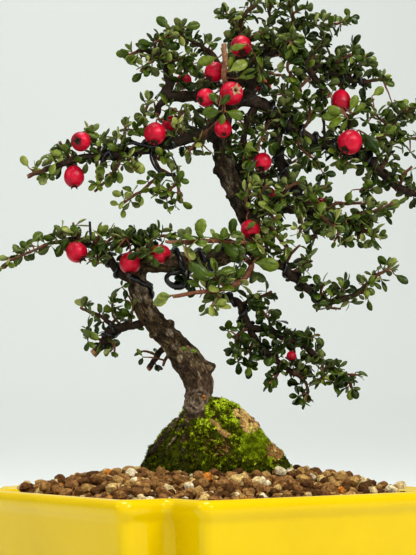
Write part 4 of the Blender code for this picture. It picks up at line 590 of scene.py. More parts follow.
def makePot():
    drills = []
    for x in (-potShape["drainSpread"], potShape["drainSpread"]):
        bm = bmesh.new()
        bmesh.ops.create_cone(bm, cap_ends=True, segments=32, radius1=potShape["drainRadius"],
                              radius2=potShape["drainRadius"], depth=0.03,
                              matrix=Matrix.Translation((x, 0, 0.01)))
        drills.append(meshFrom(bm, "drill"))
    bm = bmesh.new()
    bm.from_mesh(drilled(makePotBody(), drills))
    for x in (-1, 1):
        for y in (-1, 1):
            place = Vector((x * (potShape["length"] / 2 - potShape["footInset"] - potShape["footLength"] / 2),
                            y * (potShape["width"] / 2 - potShape["footInset"] - potShape["footWidth"] / 2),
                            potShape["footHeight"] / 2))
            size = (potShape["footLength"], potShape["footWidth"], potShape["footHeight"])
            matrix = Matrix.Translation(place) @ Matrix.Diagonal((*size, 1))
            foot = bmesh.ops.create_cube(bm, matrix=matrix)["verts"]
            edges = list({edge for vertex in foot for edge in vertex.link_edges})
            bmesh.ops.bevel(bm, geom=edges, affect="EDGES", offset=potShape["footRound"], segments=3,
                            profile=0.5, material=-1)
    finishPiece("glazedPot", bm, finishes["glaze"], ("pot",), 50)


makePot()
for node in ("drain_screen_left", "drain_screen_right"):
    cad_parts[node].data.materials.clear()
    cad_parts[node].data.materials.append(finishes["screen"])
print("the pot is made")


# The mossy rootball

moundShape = {
    # height above the soil line, and the left and right edges in the front view
    "outline": ((-6.0, -28.0, 34.5), (0.0, -26.6, 32.4), (4.0, -24.6, 29.0), (8.0, -22.4, 26.0),
                (12.0, -19.2, 21.4), (16.0, -15.6, 18.0), (20.0, -12.4, 15.4), (23.5, -9.8, 12.0),
                (25.8, -7.0, 7.0), (26.9, -3.0, 3.4)),
    "foot": -6.0,
    "height": 32.9,
    "sides": 96,
    "depthShare": 0.88,
    # the side at which the trunk's foot stands free, and how far the mound is drawn in there
    "freeTurn": 4.26,
    "freeShare": 0.6,
    "levels": 34,
    "lump": 1.5,
}


def moundPlace(up, turn, grow=0.0):
    # a place on the mound at a height and a turn round it, grown outwards by grow millimetres
    rows = moundShape["outline"]
    up = min(max(up, rows[0][0]), rows[-1][0])
    i = max(k for k in range(len(rows) - 1) if rows[k][0] <= up)
    share = (up - rows[i][0]) / (rows[i + 1][0] - rows[i][0])
    left, right = (rows[i][k] + (rows[i + 1][k] - rows[i][k]) * share for k in (1, 2))
    ridge = 0.7 * math.cos(5 * turn + 0.8)
    lump = moundShape["lump"] * noise.noise(Vector((math.cos(turn) * 2.2, math.sin(turn) * 2.2, up / 6)))
    reach = (right - left) / 2 + (ridge + lump) * min(1.0, (rows[-1][0] - up) / 6) + grow
    free = max(0.0, math.cos(turn - moundShape["freeTurn"])) ** 2 * min(max((up - 12.5) / 6.5, 0.0), 1.0)
    reach *= 1 - moundShape["freeShare"] * free
    return seen((left + right) / 2 + reach * math.cos(turn), up,
                reach * math.sin(turn) * moundShape["depthShare"])


def makeMound():
    bm = bmesh.new()
    loops = []
    sides, levels = moundShape["sides"], moundShape["levels"]
    for level in range(levels + 1):
        up = moundShape["foot"] + moundShape["height"] * (level / levels) ** 0.9
        ring = bmesh.ops.create_circle(bm, segments=sides, radius=1.0)["verts"]
        for k, vertex in enumerate(ring):
            vertex.co = moundPlace(up, 2 * math.pi * k / sides)
        loops.append([edge for edge in bm.edges if edge.verts[0] in ring])
    for lower, upper in zip(loops, loops[1:]):
        bmesh.ops.bridge_loops(bm, edges=lower + upper)
    bmesh.ops.holes_fill(bm, edges=[edge for edge in bm.edges if edge.is_boundary], sides=0)
    bmesh.ops.recalc_face_normals(bm, faces=bm.faces[:])
    bm.normal_update()
    for vertex in bm.verts:
        rough = noise.turbulence(vertex.co * 260, 3, False) * 1.1 + noise.noise(vertex.co * 900) * 0.5
        vertex.co += vertex.normal * rough * 0.7 * mm
    return finishPiece("mossyRootball", bm, finishes["rootball"], ("mound",))


def treeOf(thing):
    mesh = thing.data if isinstance(thing, bpy.types.Object) else thing
    corners = [vertex.co.copy() for vertex in mesh.vertices]
    return BVHTree.FromPolygons(corners, [face.vertices[:] for face in mesh.polygons])


mound = makeMound()
moundTree = treeOf(mound)
soilTree = treeOf(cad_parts["soil"])


def onMound(across, up, rise=0.0):
    # the place on the mound's front seen at so much across and up, and the way out of it there
    far = seen(across, up, 0)
    ray = (far - eye).normalized()
    hit, normal, _, _ = moundTree.ray_cast(eye, ray)
    if hit is None:
        hit, normal, _, _ = moundTree.find_nearest(far)
    return hit + normal * rise, normal


rootLook = {
    # across and up of each root's run down the rootball's front, and its radius
    "left": ((-9.8, 21.4, 1.2), (-13.2, 17.2, 1.1), (-17.0, 12.4, 1.1), (-20.4, 8.0, 1.0), (-23.6, 3.6, 0.9),
             (-26.4, 0.0, 0.8)),
    "leftInner": ((-9.6, 18.6, 0.7), (-12.6, 12.0, 0.5), (-16.4, 6.0, 0.4), (-19.6, 2.0, 0.3)),
    "middle": ((-8.0, 20.4, 1.2), (-8.6, 16.4, 0.9), (-9.4, 11.4, 0.5), (-10.0, 5.4, 0.6),
               (-10.8, -0.8, 0.4)),
    "right": ((7.6, 22.6, 0.7), (10.6, 20.4, 0.7), (14.4, 16.4, 0.5)),
    "rightLow": ((20.8, 5.4, 0.35), (21.4, 2.6, 0.5), (21.2, 0.0, 0.5)),
    "backTurns": (0.7, 1.3, 1.9, 2.5),
}


def makeRoots():
    runs = []
    for index, label in enumerate(("left", "leftInner", "middle", "right", "rightLow")):
        rows = rootLook[label]
        places = [onMound(across, up, -0.35 * radius * mm)[0] for across, up, radius in rows]
        runs.append(smoothRun(places, [row[2] * mm for row in rows], 0.7 * mm, 0.5 * mm, index * 7))
    for index, turn in enumerate(rootLook["backTurns"]):
        places = [moundPlace(up, turn + 0.05 * (24 - up) * (-1) ** index, -0.3) for up in (22, 17, 12, 6, 0)]
        radii = [radius * mm for radius in (1.5, 1.3, 1.1, 0.9, 0.6)]
        runs.append(smoothRun(places, radii, 0.7 * mm, 0.5 * mm, 40 + index * 7))
    bm = bmesh.new()
    bm.from_mesh(tubesMesh(runs, 3))
    bmesh.ops.remove_doubles(bm, verts=bm.verts[:], dist=1e-6)
    bm.normal_update()
    for vertex in bm.verts:
        rough = noise.noise(vertex.co * 600) * 0.9 + noise.noise(vertex.co * 1500) * 0.4
        vertex.co += vertex.normal * rough * mm
    groove, grain = bm.verts.layers.float.new("groove"), bm.verts.layers.float_vector.new("grain")
    for vertex in bm.verts:
        vertex[groove] = min(max(0.45 + noise.noise(vertex.co * 300), 0.1), 0.9)
        vertex[grain] = vertex.co * 320
    finishPiece("surfaceRoots", bm, finishes["bark"])


mossLook = {
    "sprigs": 16500,
    "length": 1.05 * mm,
    "clump": 430,
    "fluffySprigs": 2600,
    "fluffyMiddle": (18.6, 7.8),
    "fluffyReach": 6.0,
    "fluffyLength": 2.0 * mm,
    # across, up and reach of the rocky spots, and how much of the bare ground stays bare
    "rocky": ((16.6, 17.0, 4.2), (12.8, 20.6, 2.4)),
    "bareShare": 0.86,
    "seed": 21,
}


def mossSprig(blades, length, width, spread):
    # a tuft of pointed shoots standing round a middle one
    rng = random.Random(blades)
    bm = bmesh.new()
    for k in range(blades):
        lean = 0.0 if k == 0 else spread * rng.uniform(0.6, 1.2)
        turn = Matrix.Rotation(2 * math.pi * k / max(blades - 1, 1) + rng.uniform(-0.4, 0.4), 4, "Z")
        tilt = Matrix.Rotation(lean, 4, "X")
        tall = length * rng.uniform(0.75, 1.15)
        bmesh.ops.create_cone(bm, cap_ends=False, segments=3, radius1=width, radius2=0.0, depth=tall,
                              matrix=turn @ tilt @ Matrix.Translation((0, 0, tall / 2)))
    bmesh.ops.remove_doubles(bm, verts=bm.verts[:], dist=1e-7)
    return addTone(meshFrom(bm, "sprig"), "shade")


def facing(place, normal, roll, scale=1.0):
    turn = normal.to_track_quat("Z", "Y").to_matrix().to_4x4()
    return Matrix.Translation(place) @ turn @ Matrix.Rotation(roll, 4, "Z") @ Matrix.Scale(scale, 4)


def mossShade(across, up, place):
    # brightest along the top right and in the soft cushion, dark olive at the left and the foot: partly the
    # moss's own colour and partly painted light, with painted shade at the left and the foot
    bright = 0.36 + 0.008 * across + 0.012 * (up - 10)
    if up > 16 and across > -3:
        bright += 0.24
    # the last term follows the clumps that raise and enlarge the sprigs: pale tips on their tops, and painted
    # shade in the hollows between them
    return bright + 0.35 * noise.noise(place * 190) + 0.55 * noise.noise(place * mossLook["clump"])


def viewOf(place):
    # across and up, in millimetres, of a place as the front view shows it
    local = Matrix.Rotation(-frontView["turn"], 3, "Z") @ (place - eye)
    pitch = frontView["pitch"]
    ahead = local.y * math.cos(pitch) + local.z * math.sin(pitch)
    rise = local.z * math.cos(pitch) - local.y * math.sin(pitch)
    reach = frontView["eyeDistance"] / ahead
    return local.x * reach / mm, (rise * reach - frontView["soilLine"]) / mm


def makeMoss():
    rng = random.Random(mossLook["seed"])
    sprigs = [mossSprig(3, mossLook["length"], 0.22 * mm, 0.7),
              mossSprig(4, mossLook["length"] * 0.8, 0.24 * mm, 0.9)]
    fluffy = mossSprig(3, mossLook["fluffyLength"], 0.15 * mm, 0.35)
    carpets = [bmesh.new(), bmesh.new()]
    soft = bmesh.new()
    for _ in range(mossLook["sprigs"]):
        up = 27.0 - 30.0 * rng.random() ** 0.75
        turn = rng.uniform(0, 2 * math.pi)
        place, normal, _, _ = moundTree.find_nearest(moundPlace(up, turn))
        across, height = viewOf(place)
        front = turn > math.pi
        patch = noise.noise(place * 150 + Vector((3, 0, 0)))
        if patch < -0.34:  # bare earth shows between the cushions
            continue
        rocky = front and any(math.hypot(across - x, height - y) < reach for x, y, reach in mossLook["rocky"])
        gritty = front and across - 27.0 + 0.55 * (height - 7.0) > -2.6 and height < 12
        barky = front and across < -13.5 - 0.62 * (height - 11) and height < 25
        if (rocky or gritty or barky) and rng.random() < mossLook["bareShare"]:
            continue
        clump = noise.noise(place * mossLook["clump"])
        shade = mossShade(across if front else -4.0, height, place)
        shade += rng.choice((-0.28, -0.2, -0.12, 0.06, 0.3))
        shade += rng.uniform(-0.08, 0.08)
        size = rng.uniform(0.65, 1.15) * (1.0 + 0.7 * clump)
        root = place + normal * (clump * 0.7 - 0.1) * mm
        way = (normal + Vector((0, 0, 0.35))).normalized()
        stampCopy(carpets[front], rng.choice(sprigs), facing(root, way, rng.uniform(0, 6.3), size),
                  shade=min(max(shade, 0.0), 1.0))
    for _ in range(mossLook["fluffySprigs"]):
        reach, turn = mossLook["fluffyReach"] * math.sqrt(rng.random()), rng.uniform(0, 2 * math.pi)
        across = mossLook["fluffyMiddle"][0] + reach * math.cos(turn)
        up = mossLook["fluffyMiddle"][1] + reach * math.sin(turn)
        place, normal = onMound(across, up, -0.1 * mm)
        lean = (normal + Vector((0, 0, 0.5))).normalized()
        shade = min(max(0.72 + 0.4 * noise.noise(place * 400) + rng.uniform(-0.3, 0.22), 0.0), 1.0)
        stampCopy(soft, fluffy,
                  facing(place, lean, rng.uniform(0, 6.3), rng.uniform(0.6, 1.1) * (1.1 - reach / 14)),
                  shade=shade)
    print([len(bm.faces) for bm in (*carpets, soft)], "moss faces")
    finishPiece("mossCarpetBack", carpets[0], finishes["moss"], ("mound",))
    finishPiece("mossCarpetFront", carpets[1], finishes["moss"], ("mound",))
    finishPiece("mossCushion", soft, finishes["moss"], ("mound",))


makeRoots()
makeMoss()
print("the rootball is covered")


# Soil grains, and the pale stones and stick caught in the moss

grainLook = {
    "pitch": 2.9 * mm,
    "smallest": 1.1 * mm,
    "largest": 2.7 * mm,
    "wall": 0.0068,
    "wallGap": 0.3 * mm,
    # what of the soil lies over this height is its surface
    "surface": 0.045,
    # how far the bed lies under the surface that the grains make
    "sink": 2.6 * mm,
    "secondLayer": 0.5,
    "shapes": 12,
    "seed": 8,
}


def grainShape(seed):
    # a lumpy, slightly angular pebble about as large as a ball of radius one
    rng = random.Random(seed)
    bm = bmesh.new()
    bmesh.ops.create_cube(bm, size=1.0)
    bmesh.ops.subdivide_edges(bm, edges=bm.edges[:], cuts=1, use_grid_fill=True)
    stretch = Vector((rng.uniform(0.85, 1.15), rng.uniform(0.78, 1.0), rng.uniform(0.66, 0.92)))
    for vertex in bm.verts:
        vertex.co.normalize()
        dent = 0.42 * noise.noise(vertex.co * 1.3 + Vector((seed * 3.1, 0, 0)))
        dent += 0.3 * noise.noise(vertex.co * 3.0 + Vector((0, seed * 3.1, 0)))
        vertex.co = vertex.co * (1 + dent) * stretch
    return addTone(meshFrom(bm, "grain"), "shade")


def insidePot(x, y, inset):
    # whether a place lies inside the indented outline, drawn in by inset
    sideGap = potShape["length"] / 2 - inset - abs(x)
    frontGap = potShape["width"] / 2 - inset - abs(y)
    notch = potShape["notch"] + 0.0003
    return min(sideGap, frontGap) > 0 and (sideGap > notch or frontGap > notch)


def makeLoamBed():
    bm = bmesh.new()
    bm.from_mesh(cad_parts["soil"].data)
    for vertex in bm.verts:
        if vertex.co.z > grainLook["surface"]:
            vertex.co.z -= grainLook["sink"]
    finishPiece("loamBed", bm, finishes["loam"], ("soil",))


def makeGrains():
    rng = random.Random(grainLook["seed"])
    shapes = [grainShape(seed) for seed in range(grainLook["shapes"])]
    bm = bmesh.new()
    pitch = grainLook["pitch"]
    columns, rows = round(potShape["length"] / pitch), round(potShape["width"] / pitch)
    up = Vector((0, 0, 1))
    for layer in (0, 1):
        for i in range(-columns // 2, columns // 2 + 1):
            for j in range(-rows // 2, rows // 2 + 1):
                if layer and rng.random() > grainLook["secondLayer"]:
                    continue
                x = (i + 0.5 * (j % 2) + rng.uniform(-0.35, 0.35)) * pitch
                y = (j + rng.uniform(-0.35, 0.35)) * pitch
                span = grainLook["largest"] - grainLook["smallest"]
                size = grainLook["smallest"] + span * rng.random() ** (1.5 if layer else 1.1)
                shade = rng.random()
                roll = rng.uniform(0, 6.3)
                tip = Vector((rng.uniform(-0.5, 0.5), rng.uniform(-0.5, 0.5), 1)).normalized()
                if not insidePot(x, y, grainLook["wall"] + size + grainLook["wallGap"]):
                    continue
                hit = soilTree.ray_cast(Vector((x, y, 0.1)), -up)[0]
                if hit is None:
                    continue
                heap = moundTree.ray_cast(Vector((x, y, 0.1)), -up)[0]
                if heap is not None and heap.z > hit.z + 1.6 * mm:
                    continue
                place = Vector((x, y, hit.z - grainLook["sink"] + (0.3 if layer == 0 else 1.25) * size))
                stampCopy(bm, rng.choice(shapes), facing(place, tip, roll, size), shade=shade)
    print(len(bm.faces), "grain faces")
    finishPiece("soilGrains", bm, finishes["grains"], (), 38)


mossFinds = {
    "seed": 5,
    # patches of chips: across, up, half width and half height, the chips in it, their radii and their shades
    "patches": (
        (16.8, 16.8, 3.8, 4.2, 260, (0.45, 1.2), (0.8, 0.899)),
        (12.8, 20.6, 3.0, 1.9, 80, (0.35, 0.9), (0.82, 0.899)),
        (17.4, 18.2, 1.3, 1.9, 22, (0.7, 1.3), (0.1, 0.5)),
        (26.6, 6.4, 3.6, 4.6, 170, (0.4, 1.2), (0.5, 0.899)),
        (0.0, 12.0, 12.0, 12.0, 50, (0.2, 0.45), (0.1, 0.7)),
        (3.0, 7.4, 6.0, 4.0, 60, (0.25, 0.6), (0.0, 0.55)),
    ),
    # across, up and radius of each single stone, and its shade among the grains
    "stones": ((-0.8, 6.6, 0.7, 0.62), (7.4, 5.4, 0.8, 0.6), (1.6, 9.6, 0.8, 0.4), (10.4, 8.0, 0.9, 0.4),
               (3.4, 4.2, 0.7, 0.5), (-5.0, 19.4, 0.5, 0.86), (-3.8, 19.6, 0.4, 0.8),
               (19.8, 16.6, 1.5, 0.45),
               (28.6, 4.0, 1.5, 0.6)),
    "stick": ((1.0, 17.6, 0.5), (2.2, 16.6, 0.8), (3.6, 15.2, 1.0), (5.2, 13.4, 0.9), (6.6, 12.2, 1.1),
              (7.8, 10.8, 0.9)),
}


def makeFinds():
    bm = bmesh.new()
    rng = random.Random(mossFinds["seed"])
    shapes = [grainShape(seed) for seed in range(50, 56)]
    for middleAcross, middleUp, wide, tall, count, (least, most), (dark, pale) in mossFinds["patches"]:
        for _ in range(count):
            reach, turn = math.sqrt(rng.random()), rng.uniform(0, 2 * math.pi)
            radius = rng.uniform(least, most)
            place, normal = onMound(middleAcross + wide * reach * math.cos(turn),
                                    middleUp + tall * reach * math.sin(turn),
                                    rng.uniform(-0.3, 0.4) * mm)
            stampCopy(bm, rng.choice(shapes), facing(place, normal, rng.uniform(0, 6.3), radius * mm),
                      shade=rng.uniform(dark, pale))
    for index, (across, up, radius, shade) in enumerate(mossFinds["stones"]):
        place, normal = onMound(across, up, radius * 0.25 * mm)
        stampCopy(bm, shapes[index % 6], facing(place, normal, index * 1.7, radius * mm), shade=shade)
    finishPiece("stonesInMoss", bm, finishes["grains"], ("mound",))
    places = [onMound(across, up, 0.5 * mm)[0] for across, up, _ in mossFinds["stick"]]
    run = smoothRun(places, [row[2] * mm for row in mossFinds["stick"]], 0.4 * mm, 0.9 * mm)
    stick = tubesMesh([run], 3)
    addTone(stick, "shade")
    for vertex in stick.vertices:
        vertex.co += noise.noise_vector(vertex.co * 900) * 0.7 * mm
    shades = [0.79 + 0.1 * noise.noise(vertex.co * 500) for vertex in stick.vertices]
    stick.attributes["shade"].data.foreach_set("value", shades)
    finishPiece("stickInMoss", stick, finishes["grains"], ("mound",))


makeLoamBed()
makeGrains()
makeFinds()
print("the soil is filled in")


# The trunk

trunkRuns = {
    # rows of across, up, depth and radius
    "foot": ((-3.6, 9.0, 0, 5.9), (-4.0, 22.0, 0, 5.7), (-3.6, 28.0, 0, 5.6), (-3.9, 34.0, 0, 6.1),
             (-7.8, 41.0, 0, 6.3), (-13.0, 48.0, 0, 5.4), (-19.6, 54.8, 0, 4.8), (-24.8, 62.0, 0, 4.4),
             (-27.4, 69.2, 0, 4.3), (-28.4, 76.0, 0, 4.2), (-27.8, 82.0, 0, 3.6)),
    "level": ((-28.6, 78.5, 0, 3.4), (-24.5, 81.0, 0, 4.3), (-17.2, 81.4, 0, 4.7), (-7.2, 81.2, 0, 4.4),
              (2.8, 82.6, 0, 4.1), (10.8, 85.4, 0, 3.8), (17.2, 89.0, 0, 3.5)),
    "top": ((15.0, 84.8, 0, 3.4), (17.4, 90.6, 0, 3.9), (16.6, 97.0, 0, 4.0), (14.4, 102.4, 0, 4.1),
            (11.6, 108.2, 0, 4.1), (8.8, 114.4, 0, 4.2), (6.6, 120.4, 0, 4.2), (5.8, 126.0, 0, 4.1),
            (5.6, 132.8, 0, 4.0), (6.4, 138.8, 0, 3.7), (8.8, 143.6, 0, 3.7), (13.0, 146.6, 0, 3.6),
            (18.4, 145.4, -0.5, 3.0)),
}
trunkKnots = {
    # across, up, depth, the way each healed stump points, its radius and its reach
    "burls": (
        (-1.6, 38.8, -0.5, (1.0, 0.1, -0.2), 3.2, 5.4), (-16.2, 55.2, -1.0, (0.75, 0.62, -0.25), 2.6, 3.9),
        (-20.2, 58.0, -1.0, (0.75, 0.6, -0.2), 2.4, 3.8), (-19.6, 53.4, -2.0, (-0.8, -0.4, -0.4), 2.7, 4.6),
        (4.8, 118.4, 0.0, (-0.9, -0.3, -0.1), 2.2, 3.3), (8.8, 121.6, -1.0, (0.9, 0.2, -0.3), 2.4, 3.7),
        (-25.0, 71.6, 1.0, (0.5, 0.2, 0.8), 2.4, 4.8), (-5.6, 33.0, 1.0, (-0.8, -0.2, 0.3), 2.8, 4.9),
    ),
    # small knots on the bark's face: across, up and radius
    "buds": ((-28.8, 67.8, 1.7), (-10.6, 49.4, 1.6), (-8.8, 38.6, 1.8), (-22.6, 64.2, 1.1),
             (-24.4, 56.4, 1.1), (-5.8, 44.6, 1.2), (8.6, 107.4, 1.5), (5.8, 127.6, 1.4),
             (-12.4, 81.6, 1.5), (2.0, 82.8, 1.4), (12.6, 98.8, 1.2)),
    # paler smooth patches: across, up and reach
    "pale": ((-25.2, 72.0, 4.6), (-23.8, 67.8, 3.0), (-27.4, 66.6, 2.4), (-7.6, 45.0, 2.6),
             (-15.8, 53.2, 2.2), (9.8, 122.0, 3.0), (8.0, 113.4, 3.2), (12.0, 105.4, 2.6),
             (-13.0, 47.4, 2.2), (-19.2, 62.4, 1.6)),
    # the healed ring where a root or limb was cut: across, up, half width and half height
    "ring": (-4.2, 25.6, 5.3, 4.5),
    # crumbs on the bark: across, up, radius and shade
    "chips": ((-1.7, 27.6, 0.75, 0.905), (-1.5, 26.4, 0.6, 0.905), (-4.4, 27.0, 0.6, 0.3),
              (-8.3, 25.6, 0.5, 0.1), (-3.4, 24.6, 0.5, 0.1)),
}
barkLook = {
    "voxel": 0.46 * mm,
    "grooveDepth": 0.75 * mm,
    "plateRise": 0.45 * mm,
    "lump": 0.55 * mm,
    "swell": 0.45 * mm,
    "slim": 0.2 * mm,
}


def ballMesh(place, outward, radius, reach):
    bm = bmesh.new()
    bmesh.ops.create_icosphere(bm, subdivisions=3, radius=1.0)
    turn = outward.to_track_quat("Z", "Y").to_matrix().to_4x4()
    matrix = Matrix.Translation(place) @ turn @ Matrix.Diagonal((radius, radius, reach, 1))
    bmesh.ops.transform(bm, matrix=matrix, verts=bm.verts[:])
    return meshFrom(bm, "ball")


def ringRise(place):
    # how far the healed ring stands out at a place, how deep its cracks are and how much of it there is
    across, up, halfWidth, halfHeight = trunkKnots["ring"]
    off = place - onTrunkFace(across, up)
    side, rise, depth = (off.dot(seenWay(*way)) / mm for way in ((1, 0, 0), (0, 1, 0), (0, 0, 1)))
    reach = math.hypot(side / halfWidth, rise / halfHeight)
    reach += 0.22 * noise.noise(place * 330)
    reach += 0.1 * noise.noise(place * 900)
    if depth > 3.5 or reach > 1.6:
        return 0.0, 0.0, 0.0
    broken = min(max(0.6 + 1.6 * noise.noise(place * 420 + Vector((5, 0, 0))), 0.0), 1.2)

    def band(middle, width):
        return math.exp(-((reach - middle) / width) ** 2)

    crack = broken * (0.8 * band(0.74, 0.08) + 0.7 * band(0.45, 0.06)) + 0.9 * band(0.05, 0.18)
    height = 0.9 * band(0.92, 0.14) + 0.5 * band(0.6, 0.09) - 0.7 * crack
    return height * mm, crack, max(0.0, 1 - (reach / 1.3) ** 4)


def grainFrames(run):
    # for each place along a run: the way along it and a side that turns as little as it can
    frames, side = [], None
    last = len(run.places) - 1
    for i, place in enumerate(run.places):
        ahead = (run.places[min(i + 1, last)] - run.places[max(i - 1, 0)]).normalized()
        side = ahead.orthogonal() if side is None else side
        side = (side - ahead * side.dot(ahead)).normalized()
        frames.append((place, ahead, side, run.marks[i]))
    return frames


def onTrunkFace(across, up):
    # a place on the trunk's front face as the front view shows it
    middle = seen(across, up, 0)
    return middle + (eye - middle).normalized() * 4.0 * mm


def makeTrunk():
    runs = [drawnRun(rows, 1.0 * mm) for rows in trunkRuns.values()]
    bm = bmesh.new()
    bm.from_mesh(tubesMesh(runs, 8))
    for across, up, depth, way, radius, reach in trunkKnots["burls"]:
        bm.from_mesh(ballMesh(seen(across, up, depth), seenWay(*way), radius * mm, reach * mm))
    for across, up, radius in trunkKnots["buds"]:
        run = min(runs, key=lambda run: min((place - seen(across, up, 0)).length for place in run.places))
        index = min(range(len(run.places)), key=lambda k: (run.places[k] - seen(across, up, 0)).length)
        toEye = (eye - run.places[index]).normalized()
        bm.from_mesh(ballMesh(seen(across, up, 0) + toEye * (run.radii[index] - radius * 0.35 * mm), toEye,
                              radius * mm, radius * mm))
    solid = holder("trunk", meshFrom(bm, "trunk"))
    remesh = solid.modifiers.new("remesh", "REMESH")
    remesh.mode, remesh.voxel_size = "VOXEL", barkLook["voxel"]
    soften = solid.modifiers.new("soften", "SMOOTH")
    soften.iterations, soften.factor = 4, 0.5
    skin = meshOf(solid)

    frames = [row for run in runs for row in grainFrames(run)]
    index = kdtree.KDTree(len(frames))
    for k, row in enumerate(frames):
        index.insert(row[0], k)
    index.balance()
    bm = bmesh.new()
    bm.from_mesh(skin)
    bm.normal_update()
    groove, pale = bm.verts.layers.float.new("groove"), bm.verts.layers.float.new("pale")
    fibre = bm.verts.layers.float_vector.new("grain")
    patches = [(onTrunkFace(across, up), reach * mm) for across, up, reach in trunkKnots["pale"]]
    for vertex in bm.verts:
        place, ahead, side, mark = frames[index.find(vertex.co)[1]]
        near = max(1 - (vertex.co - spot).length / reach for spot, reach in patches)
        worn = min(max(near * 1.4 + 0.9 * noise.noise(vertex.co * 500), 0.0), 1.0)
        vertex[pale] = worn * 0.55 if near > 0 else 0.0
        out = vertex.co - place
        along = mark + out.dot(ahead)
        # plates of bark are long along the trunk and narrow round it
        grain = Vector((along * 150, out.dot(side) * 420, out.dot(ahead.cross(side)) * 420))
        warp = noise.noise_vector(grain * 0.6) * 0.7
        crack = abs(noise.noise(grain + warp)) + 0.35 * abs(noise.noise(grain * 2.3 + warp))
        depth = max(0.0, 1 - crack / 0.26)
        plate = noise.noise(grain * 0.7 + Vector((9, 0, 0)))
        lump = noise.noise(vertex.co * 330 + Vector((0, 0, 4)))
        swell = noise.noise(vertex.co * 110)
        ridge, crack, healed = ringRise(vertex.co)
        rough = 1 - 0.75 * healed
        vertex[fibre] = grain
        # groove follows how deep the fissures and the ring's cracks run; the bark finish paints these near
        # black, partly as painted shade
        vertex[groove] = min(max(depth * rough, crack), 1.0) * 0.85
        vertex[pale] = max(vertex[pale], 0.32 * healed)
        rise = plate * barkLook["plateRise"] + lump * barkLook["lump"] - depth * barkLook["grooveDepth"]
        rise += noise.noise(grain * 4) * 0.2 * mm
        rise = ridge - barkLook["slim"] + swell * barkLook["swell"] + rough * rise
        vertex.co += vertex.normal * rise
    print(len(bm.faces), "trunk faces")
    return finishPiece("barkTrunk", bm, finishes["bark"], ("trunk",), 180)


def makeChips():
    bm = bmesh.new()
    for index, (across, up, radius, shade) in enumerate(trunkKnots["chips"]):
        way = (seen(across, up, 0) - eye).normalized()
        hit, normal, _, _ = trunkTree.ray_cast(eye, way)
        stampCopy(bm, grainShape(70 + index), facing(hit, normal, index, radius * mm), shade=shade)
    finishPiece("barkCrumbs", bm, finishes["grains"])


trunk = makeTrunk()
trunkTree = treeOf(trunk)
makeChips()
print("the trunk is made")


# The leafy branches

